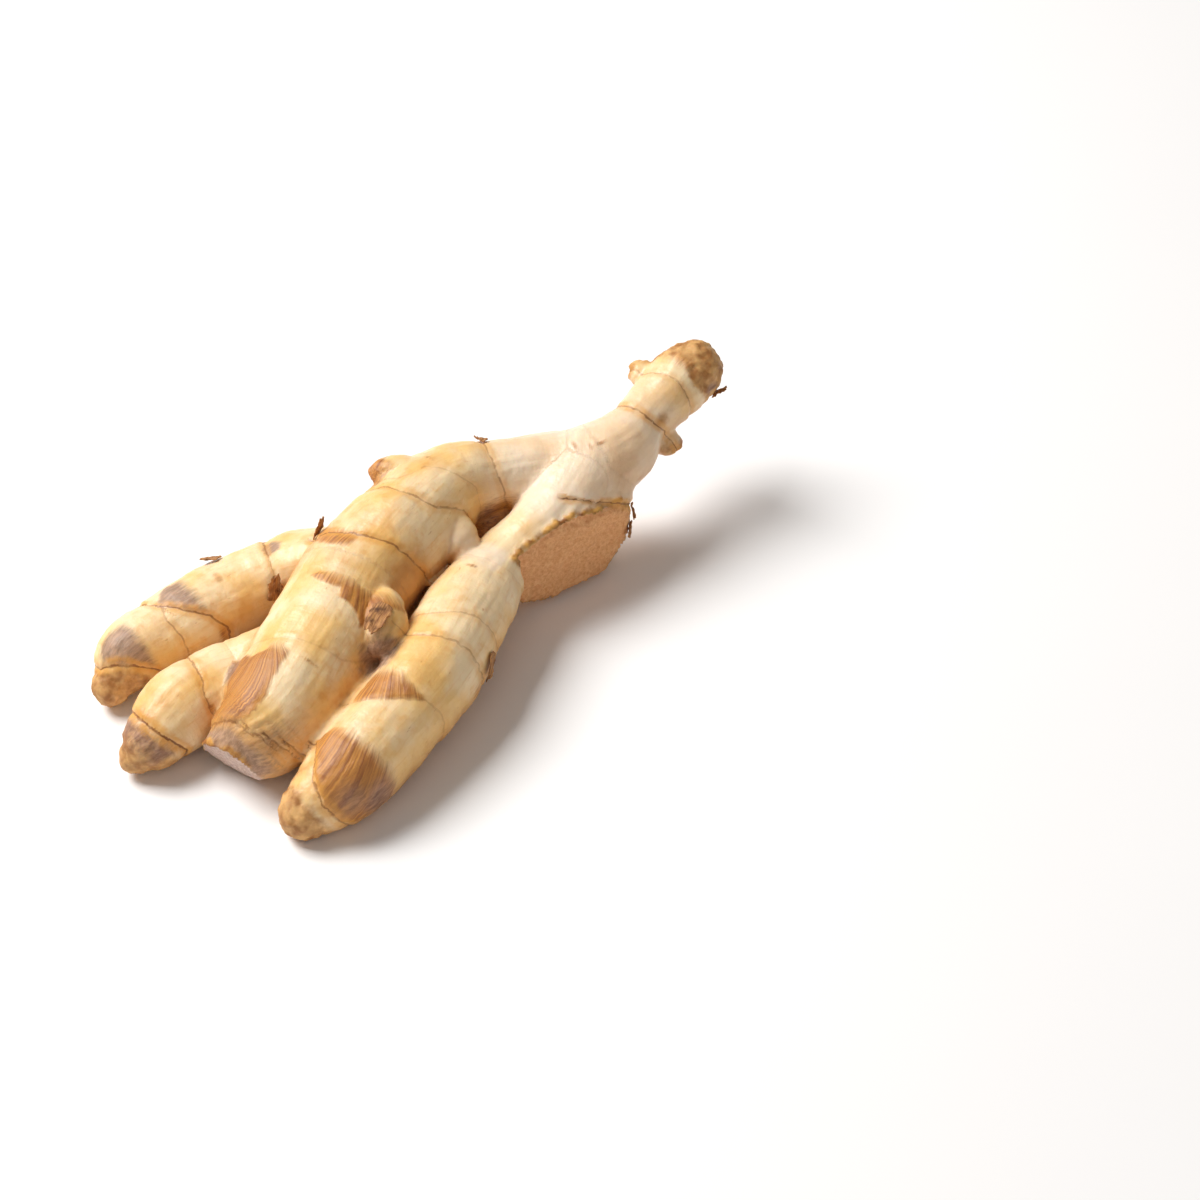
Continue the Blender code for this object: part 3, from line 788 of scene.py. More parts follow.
    def draw_blot(self, blot: Blot) -> None:
        """Lay a soft spot of a layer.

        Args:
            blot: The spot.
        """
        flat, places = self.flatten(blot.limb, ((blot.share, blot.degrees),))
        off = (flat - places[0]) / (blot.along, blot.around)
        cover = np.exp(-(off ** 2).sum(axis=1)) * self.owned(blot.limb, blot.loose) * blot.strength
        self.lay(blot.layer, (1 + self.blot_depth) * cover - self.blot_depth)

    def weather_tip(self, bud: Bud) -> None:
        """Lay a bud's own layer on its tip, and wrinkle it there.

        Args:
            bud: The bud.
        """
        middle, tip = self.skeleton.bud_place(bud)
        far = np.linalg.norm(self.skin - np.array(middle.lerp(tip, self.tip_at)), axis=1)
        cover = np.exp(-(far / (bud.length * self.tip_reach)) ** 2)
        fine, finer = self.tip_wrinkles
        self.lay(bud.tip, self.tip_gain * cover * (1 + fine * self.fine) - self.tip_depth)
        self.height += cover * (fine * self.fine + finer * self.finer)

    def shade_folds(self) -> None:
        """Spread the young skin round the crown, and paint shade in deep ochre into the folds and on the
        downward-facing belly.
        """
        young = 1 - smooth_step(np.linalg.norm(self.skin, axis=1), *self.young)
        self.lay(Layer.TENDER, signed(young))
        # Painted shade: ochre in the folds and under the limbs, less on upward-facing and young skin.
        fold_shade = 1 - smooth_step(self.runner_up, *self.fold_shade)
        fold_shade *= 1 - self.top_unshaded * smooth_step(self.facing[:, 2], *self.top)
        underside_shade = smooth_step(-self.facing[:, 2], *self.under)
        self.lay(Layer.CREASE, signed(np.maximum(fold_shade * (1 - self.young_unshaded * young),
                                                 self.under_shade * underside_shade)))

    def bare(self, face: BareFace, middle: Vector, looks: Vector) -> None:
        """Lay a bare face's flesh, roughen it and tear the lip of skin round it.

        Args:
            face: The face.
            middle: A point on it.
            looks: The way it looks.
        """
        offset = self.skin - np.array(middle)
        off = np.abs(offset @ np.array(looks))
        near = np.linalg.norm(offset, axis=1) < max(face.size) * self.face_reach
        flesh = (smooth_step(self.facing @ np.array(looks), *self.flesh_facing)
                 * (off < face.rough + self.flesh_depth) * near)
        self.lay(face.layer, 2 * signed(flesh))
        grit = sum(waves(self.skin, size, seed) * height for size, seed, height in self.grit)
        self.height = np.where(flesh > 0.5, grit * face.rough, self.height)
        tree = KDTree(int((flesh > 0.5).sum()))
        for index in np.flatnonzero(flesh > 0.5):
            tree.insert(Vector(self.skin[index]), int(index))
        tree.balance()
        beside = np.array([tree.find(Vector(point))[2] for point in self.skin])
        lip = (np.exp(-(beside / self.lip_width) ** 2) * (1 - flesh)
               * smooth_step(self.facing[:, 2], *self.lip_top))
        self.height += lip * face.rough * (1 + self.lip_curl * self.fine)
        self.lay(Layer.RIM, self.rim_gain * lip * (1 + self.rim_fray * self.fine) - self.rim_depth)

    def crackle(self) -> None:
        """Wrinkle the bark, and the rest of the skin a little."""
        bark = smooth_step(self.layers[Layer.CORK], *self.bark_edge) * self.bark_crackle
        self.height += bark * (self.fine + self.finer) + self.skin_crackle * self.finer

    def attributes(self) -> dict:
        """Everything the finish reads, by name."""
        return {**{layer.value: values for layer, values in self.layers.items()},
                "line": self.line, "stain": self.stain, "grain": self.grain, "fan": self.fan}


@dataclass
class Rhizome:
    """The whole grown root with its skin in full detail."""

    skeleton: Skeleton
    ring_sides: int = 40
    dome_steps: int = 6
    dome_turn: float = math.radians(84)
    flowing_grid: float = 1.1       # mm, step of the grid that fuses the flowing limbs
    flowing_smoothing: int = 14
    skin_grid: float = 0.68         # mm, step of the finished skin's grid
    skin_smoothing: int = 3
    cut_cell: float = 1.4           # mm, cells of the blocks' wavy feet
    cut_wave: float = 5.0           # mm, width of those waves
    skin_tree: BVHTree | None = None    # the finished skin, for what is laid on it

    def dome(self, station: tuple, way: int) -> list:
        """Stations of the rounded end past a limb's last or first station.

        Args:
            station: The point, direction and radius to start from.
            way: 1 past the last station, -1 before the first.

        Returns:
            The stations, in the limb's order.
        """
        point, heading, radius = station
        turns = [self.dome_turn * step / self.dome_steps for step in range(1, self.dome_steps + 1)]
        return [(point + heading * way * radius * math.sin(turn), heading, radius * math.cos(turn))
                for turn in turns[::way]]

    def sweep(self, bm: bmesh.types.BMesh, name: str) -> None:
        """Add a limb as a round, closed body.

        Args:
            bm: The mesh to add it to.
            name: The limb.
        """
        points = self.skeleton.points[name]
        headings = [(b - a).normalized() for a, b in zip(points, points[1:])]
        stations = list(zip(points, [*headings, headings[-1]], self.skeleton.radii[name]))
        domed = [*self.dome(stations[0], -1), *stations, *self.dome(stations[-1], 1)]
        rings = []
        for index, (point, heading, radius) in enumerate(domed):
            turn = heading.to_track_quat("Z", "Y").to_matrix().to_4x4()
            verts = bmesh.ops.create_circle(
                bm, cap_ends=index in (0, len(domed) - 1), segments=self.ring_sides, radius=radius,
                matrix=Matrix.Translation(point) @ turn)["verts"]
            rings.append(list(dict.fromkeys(edge for vert in verts for edge in vert.link_edges)))
        for first, second in zip(rings, rings[1:]):
            bmesh.ops.bridge_loops(bm, edges=first + second)

    def add_bud(self, bm: bmesh.types.BMesh, bud: Bud) -> None:
        """Add an egg-shaped bud that is rooted inside its limb.

        Args:
            bm: The mesh to add it to.
            bud: The bud.
        """
        middle, tip = self.skeleton.bud_place(bud)
        turn = (tip - middle).to_track_quat("Z", "Y").to_matrix().to_4x4()
        shape = Matrix.Diagonal((bud.radius, bud.radius, bud.length, 1.0))
        bmesh.ops.create_uvsphere(bm, u_segments=self.ring_sides, v_segments=self.ring_sides // 2,
                                  radius=1.0, matrix=Matrix.Translation(middle) @ turn @ shape)

    def fuse(self, bm: bmesh.types.BMesh, grid: float, smoothing: int) -> bpy.types.Object:
        """Fuse overlapping closed bodies into one skin of even quads.

        Args:
            bm: The bodies, which are freed.
            grid: Step of the skin's grid, mm.
            smoothing: Rounds of smoothing.

        Returns:
            A scratch object with the skin.
        """
        bmesh.ops.recalc_face_normals(bm, faces=bm.faces)
        item = new_object("fusing", bm)
        remesh = item.modifiers.new("fuse", "REMESH")
        remesh.mode = "VOXEL"
        remesh.voxel_size = grid
        smooth = item.modifiers.new("smooth", "SMOOTH")
        smooth.iterations = smoothing
        return item

    def face_place(self, face: BareFace) -> tuple:
        """Find where a bare face is cut.

        Args:
            face: The face.

        Returns:
            Its middle and the way it looks.
        """
        point, _, radius = self.skeleton.place(face.limb, 1.0)
        looks = Vector(face.looks).normalized()
        return point + looks * radius * face.past, looks

    def cut_away(self, item: bpy.types.Object, face: BareFace) -> bpy.types.Object:
        """Cut a bare face with a block whose foot is wavy, as torn or sawn flesh is.

        Args:
            item: The skin to cut.
            face: The face.

        Returns:
            The block, which is needed until the cut is applied.
        """
        middle, looks = self.face_place(face)
        middle = middle + UP.cross(looks).normalized() * face.aside
        turn = looks.to_track_quat("Z", "Y").to_matrix().to_4x4()
        bm = bmesh.new()
        cells = round(face.size[0] / self.cut_cell)
        bmesh.ops.create_grid(bm, x_segments=cells, y_segments=cells, size=0.5)
        foot = list(bm.verts)
        top = bmesh.ops.extrude_face_region(bm, geom=bm.faces[:])["geom"]
        raised = [part for part in top if isinstance(part, bmesh.types.BMVert)]
        bmesh.ops.translate(bm, verts=raised, vec=UP)
        bmesh.ops.transform(bm, verts=bm.verts, matrix=(
            Matrix.Translation(middle) @ turn @ Matrix.Diagonal((*face.size, 1.0))))
        for vert in foot:
            vert.co += looks * noise.noise(vert.co / self.cut_wave) * face.rough
        bmesh.ops.recalc_face_normals(bm, faces=bm.faces)
        block = new_object("cutting_block", bm)
        cut = item.modifiers.new("cut", "BOOLEAN")
        cut.operation = "DIFFERENCE"
        cut.solver = "EXACT"
        cut.object = block
        return block

    def model(self) -> bmesh.types.BMesh:
        """Fuse the limbs and buds, and cut the bare faces.

        Returns:
            The plain skin.
        """
        flowing, creased = bmesh.new(), bmesh.new()
        for name, limb in LIMBS.items():
            self.sweep(flowing if limb.joining is Joining.FLOWING else creased, name)
        for bud in BUDS:
            self.add_bud(flowing if bud.joining is Joining.FLOWING else creased, bud)
        item = self.fuse(flowing, self.flowing_grid, self.flowing_smoothing)
        blocks = [self.cut_away(item, face) for face in BARE_FACES]
        body = take_bmesh(item)
        for block in blocks:
            bpy.data.objects.remove(block, do_unlink=True)
        bmesh.ops.recalc_face_normals(creased, faces=creased.faces)
        scratch = bpy.data.meshes.new("creased")
        creased.to_mesh(scratch)
        creased.free()
        body.from_mesh(scratch)
        return take_bmesh(self.fuse(body, self.skin_grid, self.skin_smoothing))

    def carve(self, bm: bmesh.types.BMesh) -> dict:
        """Sculpt scars, husks, crackle and flesh into the skin, and spread its layers.

        Args:
            bm: The plain skin, which is reshaped.

        Returns:
            An array for each of the finish's attributes.
        """
        bm.normal_update()
        facing = np.array([vert.normal[:] for vert in bm.verts])
        chart = SkinMap(self.skeleton, np.array([vert.co[:] for vert in bm.verts]), facing)
        for scar in SCARS:
            chart.draw_scar(scar)
        for patch in PATCHES:
            chart.draw_patch(patch)
        for blot in BLOTS:
            chart.draw_blot(blot)
        for bud in BUDS:
            if bud.tip:
                chart.weather_tip(bud)
        chart.shade_folds()
        for face in BARE_FACES:
            chart.bare(face, *self.face_place(face))
        chart.crackle()
        for vert, place in zip(bm.verts, chart.skin + facing * chart.height[:, None]):
            vert.co = place
        return chart.attributes()

    def build(self) -> bpy.types.Object:
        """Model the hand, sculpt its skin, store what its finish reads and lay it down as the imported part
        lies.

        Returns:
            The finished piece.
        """
        bm = self.model()
        found = self.carve(bm)
        self.skin_tree = BVHTree.FromBMesh(bm)
        item = new_object("ginger_hand", bm)
        for name, values in found.items():
            kind, slot = ("FLOAT_VECTOR", "vector") if values.ndim == 2 else ("FLOAT", "value")
            attribute = item.data.attributes.new(name, kind, "POINT")
            attribute.data.foreach_set(slot, values.astype(np.float32).ravel())
        item.data.transform(rest_matrix())
        places = np.zeros(len(item.data.vertices) * 3)
        item.data.vertices.foreach_get("co", places)
        places = places.reshape(-1, 3)
        places[:, 2] = np.maximum(places[:, 2], 0.0)
        item.data.vertices.foreach_set("co", places.ravel())
        item.data.polygons.foreach_set("use_smooth", [True] * len(item.data.polygons))
        item.data.update()
        return item


def linear(colour: str) -> tuple:
    """Turn an sRGB hex colour to linear red, green, blue and alpha."""
    parts = [int(colour[at:at + 2], 16) / 255 for at in (1, 3, 5)]
    return (*(part / 12.92 if part <= 0.04045 else ((part + 0.055) / 1.055) ** 2.4 for part in parts), 1.0)


def per_metre(size: float) -> float:
    """Scale of a pattern whose features are so many millimetres wide."""
    return 1 / (size * MM)


# Sockets of the colour Mix node.
FACTOR, UNDER, OVER, MIXED = 0, 6, 7, 2


@dataclass
class Finish:
    """A material being made."""

    name: str

    def __post_init__(self) -> None:
        """Start from an empty Principled material."""
        self.material = bpy.data.materials.new(self.name)
        self.material.use_nodes = True
        self.tree = self.material.node_tree
        self.shader = self.tree.nodes["Principled BSDF"]

    def add(self, kind: str, inputs: dict, output: int | str = 0, **settings: object) -> bpy.types.NodeSocket:
        """Add a node with its settings and links.

        Args:
            kind: The node's type.
            inputs: A value or a socket for each named or numbered input.
            output: The output to return.
            **settings: The node's own properties.

        Returns:
            The chosen output socket.
        """
        node = self.tree.nodes.new(kind)
        for name, value in settings.items():
            setattr(node, name, value)
        for name, value in inputs.items():
            if isinstance(value, bpy.types.NodeSocket):
                self.tree.links.new(value, node.inputs[name])
            else:
                node.inputs[name].default_value = value
        return node.outputs[output]

    def feed(self, **inputs: object) -> None:
        """Fill or link the shader's inputs.

        Args:
            **inputs: A value or a socket for each input, whose name has _ for a space.
        """
        for name, value in inputs.items():
            socket = self.shader.inputs[name.replace("_", " ")]
            if isinstance(value, bpy.types.NodeSocket):
                self.tree.links.new(value, socket)
            else:
                socket.default_value = value


@dataclass(frozen=True)
class Coat:
    """How a layer looks, and how patterns break its edge and its tone."""

    layer: Layer
    pale: str
    deep: str
    tone: str               # the pattern that mixes pale with deep
    torn_by: str            # the pattern that breaks its edge
    torn: float             # how far that pattern moves the edge
    cover: float = 1.0      # the most that it hides of what is under it
    rough: float = 0.0      # how much duller than living skin
    relief: float = 0.0     # how strongly its tone pattern stands out


COATS = (
    Coat(Layer.AMBER, "#efb55a", "#df9c43", "mottle", "broad", 1.6, cover=0.7),
    Coat(Layer.TENDER, "#f5e0c6", "#efcfab", "broad", "mottle", 0.8, cover=0.85),
    # Painted shade: the ochre of the folds and the underside.
    Coat(Layer.CREASE, "#dc9c4c", "#bb742f", "broad", "mottle", 0.7, cover=0.85),
    Coat(Layer.CORK, "#dbaa6b", "#a8713a", "mottle", "mottle", 1.6, rough=0.25, relief=1.0),
    Coat(Layer.HUSK, "#d39040", "#945425", "fan", "fan", 1.3, cover=0.95, rough=0.12, relief=0.8),
    Coat(Layer.DUSK, "#b18a74", "#7d5b4b", "streaks", "streaks", 1.3, cover=0.85, rough=0.15, relief=0.5),
    Coat(Layer.RIM, "#dea756", "#99602a", "mottle", "pores", 1.2, rough=0.2, relief=0.6),
    Coat(Layer.BROKEN, "#ffc58a", "#e29960", "grit", "pores", 0.6, rough=0.45, relief=1.6),
    Coat(Layer.CUT, "#e2cabb", "#bb988a", "streaks", "pores", 0.6, rough=0.35, relief=0.4),
)


@dataclass(frozen=True)
class GingerSkin:
    """Living ginger skin: a thin, waxy, part-clear rind that looks satin and glows a little."""

    cream: str = "#f7dcb0"
    straw: str = "#f1c378"
    golden: str = "#e2a34c"
    fleck: str = "#b0702f"
    scar: str = "#84491a"
    line_width: float = 0.19        # mm, half the width of a scar's line
    line_waver: float = 0.9         # mm
    tinge_width: float = 2.8        # mm, golden skin beside a scar
    line_core: float = 0.3          # share of its width over which a line is full
    line_gaps: tuple = (0.34, 0.52)     # where in its pattern a line goes from faint to full
    line_faint: float = 0.4         # share of its stain that is left there
    tone_span: tuple = (0.36, 0.64)     # where in its pattern a coat goes from pale to deep
    dulness: float = 0.36           # roughness of clean, waxy rind
    gloss: float = 0.45
    glow: float = 0.15              # share of the light that goes in and comes out again
    glow_depth: float = 3.0         # mm
    glow_colour: tuple = (1.0, 0.45, 0.18)
    relief: float = 0.6
    relief_depth: float = 0.45      # mm
    # Patterns that spread evenly: their size in mm, their detail and their roughness.
    clouds: tuple = (("broad", 16, 3.0, 0.5), ("mottle", 3, 4.0, 0.5), ("pores", 0.8, 3.0, 0.5),
                     ("grit", 0.9, 6.0, 0.75))
    # Patterns that follow the limb or fan out from a root: their size in mm along and across.
    threads: tuple = (("fibres", "grain", 12, 0.8), ("streaks", "grain", 5, 0.9), ("fan", "fan", 26, 0.6),
                      ("wrinkles", "grain", 1.6, 6), ("scuffs", "grain", 2.6, 0.8))

    def patterns(self, made: Finish) -> dict:
        """Make the patterns that the coats are mixed by, with features of real size.

        Args:
            made: The material.

        Returns:
            A value from 0 to 1 for each pattern's name.
        """
        place = made.add("ShaderNodeTexCoord", {}, "Object")
        found = {}
        for name, size, detail, roughness in self.clouds:
            found[name] = made.add("ShaderNodeTexNoise", {"Vector": place, "Scale": per_metre(size),
                                                          "Detail": detail, "Roughness": roughness}, "Fac")
        for name, course, along, across in self.threads:
            way = made.add("ShaderNodeAttribute", {}, "Vector", attribute_name=course)
            turned = made.add("ShaderNodeMapping", {"Vector": way,
                                                    "Scale": (1 / along, 1 / across, 1 / across)}, "Vector")
            found[name] = made.add("ShaderNodeTexNoise", {"Vector": turned, "Scale": 1.0, "Detail": 4.0,
                                                          "Roughness": 0.6, "Distortion": 0.3}, "Fac")
        return found

    def ground(self, made: Finish, pattern: dict) -> tuple:
        """Mix the clean rind: straw clouds, golden fibres and small brown scuffs on cream.

        Args:
            made: The material.
            pattern: Its patterns.

        Returns:
            The rind's colour and its relief.
        """
        rind, relief = linear(self.cream), 0.0
        # Where in its pattern each starts and is full, and the most that it covers.
        for colour, name, low, high, cover in ((self.straw, "broad", 0.38, 0.62, 0.9),
                                               (self.golden, "fibres", 0.50, 0.78, 0.35),
                                               (self.golden, "mottle", 0.52, 0.72, 0.30),
                                               (self.fleck, "scuffs", 0.66, 0.74, 0.45)):
            share = made.add("ShaderNodeMapRange", {"Value": pattern[name], "From Min": low,
                                                    "From Max": high, "To Max": cover}, "Result",
                             interpolation_type="SMOOTHSTEP")
            rind = made.add("ShaderNodeMix", {FACTOR: share, UNDER: rind, OVER: linear(colour)}, MIXED,
                            data_type="RGBA")
        for name, weight in (("wrinkles", 0.45), ("pores", 0.25), ("fibres", 0.30)):
            relief = made.add("ShaderNodeMath", {0: pattern[name], 1: weight, 2: relief}, "Value",
                              operation="MULTIPLY_ADD")
        return rind, relief

    def coat(self, made: Finish, pattern: dict, rind: bpy.types.NodeSocket,
             relief: bpy.types.NodeSocket) -> tuple:
        """Lay every coat over the rind, its edge torn and its tone mixed by a pattern.

        Args:
            made: The material.
            pattern: Its patterns.
            rind: The clean rind's colour.
            relief: Its relief.

        Returns:
            The coated rind's colour, roughness and relief.
        """
        add = made.add
        rough = self.dulness
        pale, deep = self.tone_span
        for coat in COATS:
            amount = add("ShaderNodeAttribute", {}, "Fac", attribute_name=coat.layer.value)
            broken = add("ShaderNodeMath", {0: pattern[coat.torn_by], 1: coat.torn, 2: -coat.torn / 2},
                         "Value", operation="MULTIPLY_ADD")
            edge = add("ShaderNodeMath", {0: amount, 1: broken}, "Value", operation="ADD")
            share = add("ShaderNodeMapRange", {"Value": edge, "From Min": -1.0, "From Max": 1.0,
                                               "To Max": coat.cover}, "Result",
                        interpolation_type="SMOOTHSTEP")
            tone = add("ShaderNodeMapRange", {"Value": pattern[coat.tone], "From Min": pale,
                                              "From Max": deep}, "Result")
            colour = add("ShaderNodeMix", {FACTOR: tone, UNDER: linear(coat.pale), OVER: linear(coat.deep)},
                         MIXED, data_type="RGBA")
            rind = add("ShaderNodeMix", {FACTOR: share, UNDER: rind, OVER: colour}, MIXED, data_type="RGBA")
            rough = add("ShaderNodeMath", {0: share, 1: coat.rough, 2: rough}, "Value",
                        operation="MULTIPLY_ADD")
            ribs = add("ShaderNodeMath", {0: pattern[coat.tone], 1: share}, "Value", operation="MULTIPLY")
            relief = add("ShaderNodeMath", {0: ribs, 1: coat.relief, 2: relief}, "Value",
                         operation="MULTIPLY_ADD")
        return rind, rough, relief

    def draw_lines(self, made: Finish, pattern: dict, rind: bpy.types.NodeSocket) -> bpy.types.NodeSocket:
        """Draw every scar as a thin wavering brown line in a soft golden tinge.

        Args:
            made: The material.
            pattern: Its patterns.
            rind: The coated rind's colour.

        Returns:
            The scarred rind's colour.
        """
        add = made.add
        line = add("ShaderNodeAttribute", {}, "Fac", attribute_name="line")
        stain = add("ShaderNodeAttribute", {}, "Fac", attribute_name="stain")
        waver = add("ShaderNodeMath", {0: pattern["mottle"], 1: self.line_waver * 2,
                                       2: -self.line_waver}, "Value", operation="MULTIPLY_ADD")
        off = add("ShaderNodeMath", {0: line, 1: waver}, "Value", operation="ADD")
        far = add("ShaderNodeMath", {0: off}, "Value", operation="ABSOLUTE")
        kept = add("ShaderNodeMapRange", {"Value": pattern["mottle"], "From Min": self.line_gaps[0],
                                          "From Max": self.line_gaps[1], "To Min": self.line_faint},
                   "Result")
        stain = add("ShaderNodeMath", {0: stain, 1: kept}, "Value", operation="MULTIPLY")
        for colour, width, cover in ((self.golden, self.tinge_width, 0.8),
                                     (self.scar, self.line_width * 2, 0.9)):
            near = add("ShaderNodeMapRange", {"Value": far, "From Min": width,
                                              "From Max": width * self.line_core, "To Max": cover},
                       "Result", interpolation_type="SMOOTHSTEP")
            share = add("ShaderNodeMath", {0: near, 1: stain}, "Value", operation="MULTIPLY")
            rind = add("ShaderNodeMix", {FACTOR: share, UNDER: rind, OVER: linear(colour)}, MIXED,
                       data_type="RGBA")
        return rind

    def dress(self, item: bpy.types.Object) -> None:
        """Give a piece this finish.

        Args:
            item: The piece.
        """
        made = Finish("ginger_skin")
        pattern = self.patterns(made)
        rind, relief = self.ground(made, pattern)
        rind, rough, relief = self.coat(made, pattern, rind, relief)
        rind = self.draw_lines(made, pattern, rind)
        bump = made.add("ShaderNodeBump", {"Height": relief, "Strength": self.relief,
                                           "Distance": self.relief_depth * MM}, "Normal")
        made.feed(Base_Color=rind, Roughness=rough, Normal=bump, Subsurface_Weight=self.glow,
                  Subsurface_Radius=self.glow_colour, Subsurface_Scale=self.glow_depth * MM,
                  Specular_IOR_Level=self.gloss)
        item.data.materials.append(made.material)


@dataclass(frozen=True)
class DryLeaf:
    """Dead scale leaf: papery, brittle and fibrous, dull brown with paler torn fibres."""

    pale: str = "#d39a5c"
    deep: str = "#8f5c35"
    dark: str = "#5c3a24"
    fibre_length: float = 4.0       # mm
    fibre_width: float = 0.35       # mm
    blot_size: float = 2.2          # mm

    def dress(self, item: bpy.types.Object) -> None:
        """Give a piece this finish.

        Args:
            item: The piece.
        """
        made = Finish("dry_scale_leaf")
        add = made.add
        along = add("ShaderNodeAttribute", {}, "Vector", attribute_name="grain")
        place = add("ShaderNodeTexCoord", {}, "Object")
        across = 1 / self.fibre_width
        way = add("ShaderNodeMapping", {"Vector": along, "Scale": (1 / self.fibre_length, across, across)},
                  "Vector")
        fibres = add("ShaderNodeTexNoise", {"Vector": way, "Scale": 1.0, "Detail": 4.0}, "Fac")
        blots = add("ShaderNodeTexNoise", {"Vector": place, "Scale": per_metre(self.blot_size),
                                           "Detail": 3.0}, "Fac")
        colour = linear(self.deep)
        for over, share, low, high in ((self.pale, fibres, 0.38, 0.66), (self.dark, blots, 0.5, 0.75)):
            amount = add("ShaderNodeMapRange", {"Value": share, "From Min": low, "From Max": high}, "Result")
            colour = add("ShaderNodeMix", {FACTOR: amount, UNDER: colour, OVER: linear(over)}, MIXED,
                         data_type="RGBA")
        rough = add("ShaderNodeMapRange", {"Value": blots, "To Min": 0.6, "To Max": 0.9}, "Result")
        bump = add("ShaderNodeBump", {"Height": fibres, "Strength": 0.8, "Distance": 0.3 * MM}, "Normal")
        made.feed(Base_Color=colour, Roughness=rough, Normal=bump)
        item.data.materials.append(made.material)


@dataclass(frozen=True)
class DryScale:
    """A ragged remnant of a scale leaf that lies on the skin and curls up at its free end."""

    node: str
    limb: str
    share: float
    side: tuple             # which way it sits from the centreline
    heading: tuple          # which way its free end points
    length: float
    width: float
    lift: float             # mm that the free end stands off the skin
    outline: tuple          # share of the width, from the rooted end to the free end
    rooted: float = 0.3     # share of its length that lies behind its place
    gap: float = 0.35       # mm
    thickness: float = 0.35     # mm
    ragged: float = 0.45    # share of the width by which its sides wander
    tears: float = 0.18     # share of the length by which its free end is torn
    torn_from: float = 0.55     # share of the length from which it is torn
    cupped: float = 0.35    # share of the lift that its sides have as well
    buckle: float = 0.7     # mm
    rows: int = 18
    columns: int = 10

    def build(self, skeleton: Skeleton, skin: BVHTree) -> bpy.types.Object:
        """Lay the scale over the skin.

        Args:
            skeleton: The centrelines.
            skin: The finished skin, mm.

        Returns:
            The finished piece.
        """
        start = skeleton.place(self.limb, self.share)[0]
        hit, normal, _, _ = skin.ray_cast(start, Vector(self.side))
        along = Vector(self.heading)
        along = (along - normal * along.dot(normal)).normalized()
        across = normal.cross(along)
        bm = bmesh.new()
        bmesh.ops.create_grid(bm, x_segments=self.rows, y_segments=self.columns, size=0.5)
        steps = len(self.outline) - 1
        grain = []
        for vert in bm.verts:
            share, side = vert.co.x + 0.5, vert.co.y
            width = np.interp(share * steps, range(steps + 1), self.outline) * self.width
            wander = noise.noise(Vector((share * 9, math.copysign(3, side), self.length)))
            width *= 1 + self.ragged * wander * abs(side) * 2
            end = max(0, share - self.torn_from) / (1 - self.torn_from)
            torn = noise.noise(Vector((side * 9, self.width, 4))) * self.tears * end
            flat = hit + along * self.length * (share - self.rooted + torn) + across * side * width
            near, facing, _, _ = skin.find_nearest(flat)
            away = (facing + normal).normalized()
            curl = self.lift * (share * share + self.cupped * (2 * side) ** 2 * share)
            buckle = self.buckle * noise.noise(Vector((share * 5, side * 6, self.width)))
            vert.co = near + away * (self.gap + curl + max(0, buckle))
            grain.append((share * self.length, side * width, 0.0))
        bmesh.ops.recalc_face_normals(bm, faces=bm.faces)
        middle = min(bm.faces, key=lambda face: (face.calc_center_median() - hit).length)
        if middle.normal.dot(normal) < 0:
            bmesh.ops.reverse_faces(bm, faces=bm.faces)
        item = new_object(self.node.replace("scale", "leaf"), bm)
        attribute = item.data.attributes.new("grain", "FLOAT_VECTOR", "POINT")
        attribute.data.foreach_set("vector", np.array(grain, np.float32).ravel())
        item.data.transform(rest_matrix())
        thick = item.modifiers.new("thickness", "SOLIDIFY")
        thick.thickness = self.thickness * MM
        thick.offset = 1.0
        soften = item.modifiers.new("soften", "SUBSURF")
        soften.levels = soften.render_levels = 1
        return item


DRY_SCALES = (
    DryScale("scale_knuckle_tuft", "main_arm", 0.96, (-0.79, 0.50, 0.35), (-0.1, 0.5, 1.0),
             5.6, 6.0, 1.8, (0.8, 1.0, 0.9, 0.8, 0.5)),
    DryScale("scale_rear_finger", "rear_finger", 0.52, (-0.30, 0.55, 0.78), (-1.0, -0.3, -0.1),
             5.4, 4.0, 1.2, (0.5, 0.9, 1.0, 0.8, 0.4)),
    DryScale("scale_crotch", "rear_finger", 0.40, (0.38, -0.80, 0.46), (0.2, 0.3, 0.9),
             7.0, 4.6, 0.8, (0.9, 0.8, 1.0, 0.7, 0.3)),
    DryScale("scale_knuckle_curl", "big_finger", 0.25, (0.68, -0.40, 0.62), (-0.4, -0.8, -0.5),
             9.0, 5.6, 2.0, (0.6, 1.0, 0.8, 0.9, 0.5)),
    DryScale("scale_arm_top", "main_arm", 0.37, (-0.05, 0.46, 0.88), (-0.6, 0.5, 0.4),
             3.6, 2.6, 0.8, (0.8, 1.0, 0.7, 0.4)),
    DryScale("scale_stub_end", "stub", 0.96, (0.85, -0.25, -0.46), (0.9, -0.2, 0.3),
             4.6, 3.4, 1.4, (0.9, 1.0, 0.7, 0.3)),
    DryScale("scale_fork_flap", "lobe", 0.42, (1.0, 0.1, 0.05), (0.3, -0.5, -0.8),
             4.6, 3.6, 1.0, (0.7, 1.0, 0.8, 0.4)),
    DryScale("scale_cut_edge", "lobe", 0.62, (1.0, 0.2, -0.1), (0.3, -0.8, -0.3),
             4.6, 4.0, 1.0, (0.6, 1.0, 0.8, 0.5)),
    DryScale("scale_front_finger", "front_finger", 0.55, (0.93, -0.30, 0.10), (0.1, -0.9, -0.4),
             7.8, 3.4, 0.8, (0.5, 1.0, 0.7, 0.9, 0.3)),
)


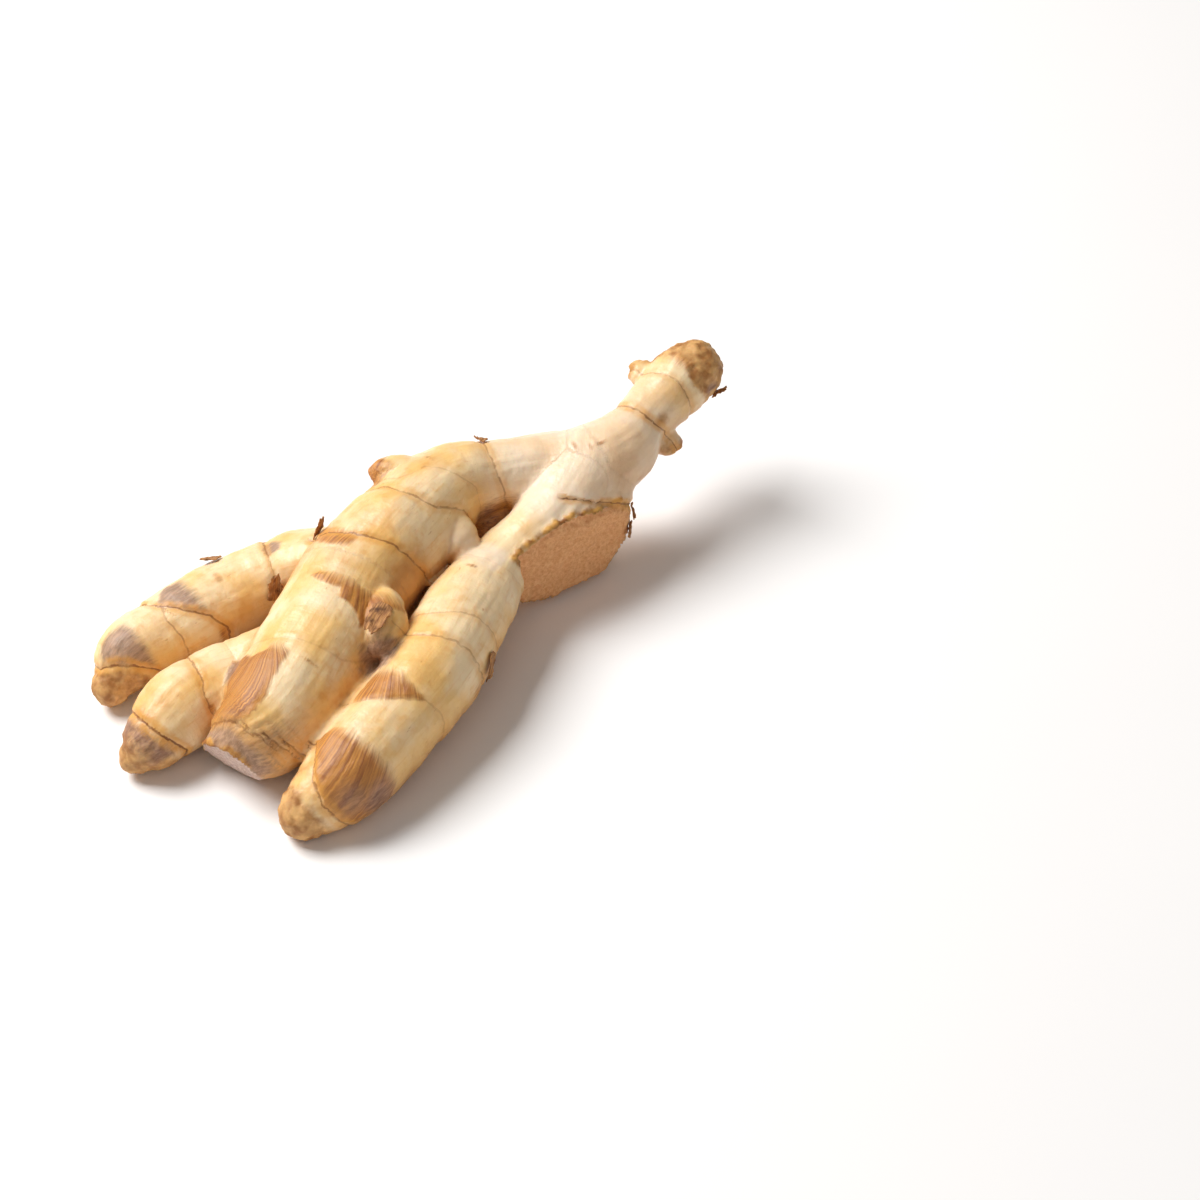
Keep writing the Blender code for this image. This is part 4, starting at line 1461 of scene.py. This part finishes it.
@dataclass(frozen=True)
class Studio:
    """Pale floor, soft overhead light and the camera."""

    floor_side: float = 8.0         # metres, as the lights' sizes and places are
    floor_pale: str = "#fcfbfa"
    floor_shade: str = "#f9f8f7"
    sky: float = 0.23
    sky_colour: str = "#fff6ef"
    key_power: float = 26.0         # watts
    key_size: float = 0.8
    key_place: tuple = (-0.78, 0.34, 1.12)
    fill_power: float = 1.5
    fill_size: float = 1.2
    fill_place: tuple = (0.2, -1.0, 0.9)
    camera_from_crown: tuple = (3.2, -589.4, 539.7)     # mm, in the frame the hand grew in
    camera_pitch: float = math.radians(45)
    lens: float = 90.0

    def lay_floor(self) -> None:
        """Lay a sweep of pale paper under the hand."""
        bm = bmesh.new()
        bmesh.ops.create_grid(bm, x_segments=1, y_segments=1, size=self.floor_side / 2)
        floor = new_object("floor", bm)
        paper = Finish("matt_paper_sweep")
        place = paper.add("ShaderNodeTexCoord", {}, "Object")
        tone = paper.add("ShaderNodeTexNoise", {"Vector": place, "Scale": per_metre(120)}, "Fac")
        colour = paper.add("ShaderNodeMix", {FACTOR: tone, UNDER: linear(self.floor_pale),
                                             OVER: linear(self.floor_shade)}, MIXED, data_type="RGBA")
        rough = paper.add("ShaderNodeMapRange", {"Value": tone, "To Min": 0.85, "To Max": 0.95}, "Result")
        paper.feed(Base_Color=colour, Roughness=rough)
        floor.data.materials.append(paper.material)

    def light(self) -> None:
        """Hang a soft key behind and to the left, a weak fill in front, and a pale sky."""
        for name, power, size, spot in (("key", self.key_power, self.key_size, self.key_place),
                                        ("fill", self.fill_power, self.fill_size, self.fill_place)):
            light = bpy.data.lights.new(name, "AREA")
            light.energy = power
            light.size = size
            lamp = bpy.data.objects.new(name, light)
            lamp.location = spot
            lamp.rotation_euler = (-Vector(spot)).to_track_quat("-Z", "Y").to_euler()
            bpy.context.scene.collection.objects.link(lamp)
        world = bpy.data.worlds.new("studio")
        world.use_nodes = True
        sky = world.node_tree.nodes["Background"].inputs
        sky["Color"].default_value = linear(self.sky_colour)
        sky["Strength"].default_value = self.sky
        bpy.context.scene.world = world

    def set_camera(self) -> None:
        """Look down at the hand from in front, level with the frame it grew in."""
        camera = bpy.data.objects.new("camera", bpy.data.cameras.new("camera"))
        camera.data.lens = self.lens
        camera.data.clip_start = 0.01
        turn = REST_TILT.to_matrix() @ Matrix.Rotation(self.camera_pitch, 3, "X")
        spot = rest_matrix() @ Vector(self.camera_from_crown)
        camera.matrix_world = Matrix.Translation(spot) @ turn.to_4x4()
        bpy.context.scene.collection.objects.link(camera)
        bpy.context.scene.camera = camera

    def build(self) -> None:
        """Make the floor, the lights, the world and the camera."""
        self.lay_floor()
        self.light()
        self.set_camera()
        bpy.context.scene.view_settings.view_transform = "Standard"


def main() -> None:
    """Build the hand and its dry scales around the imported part, and set up the studio."""
    logging.basicConfig(level=logging.INFO, format="%(name)s: %(message)s")
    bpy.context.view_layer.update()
    Studio().build()
    skeleton = Skeleton()
    skeleton.build()
    rhizome = Rhizome(skeleton)
    hand = rhizome.build()
    GingerSkin().dress(hand)
    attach(hand, "root")
    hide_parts("rhizome")
    log.info("%s: %d faces", hand.name, len(hand.data.polygons))
    for scale in DRY_SCALES:
        leaf = scale.build(skeleton, rhizome.skin_tree)
        DryLeaf().dress(leaf)
        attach(leaf, "root")
        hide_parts(scale.node)
        log.info("%s: %d faces", leaf.name, len(leaf.data.polygons))


if __name__ == "__main__":
    main()
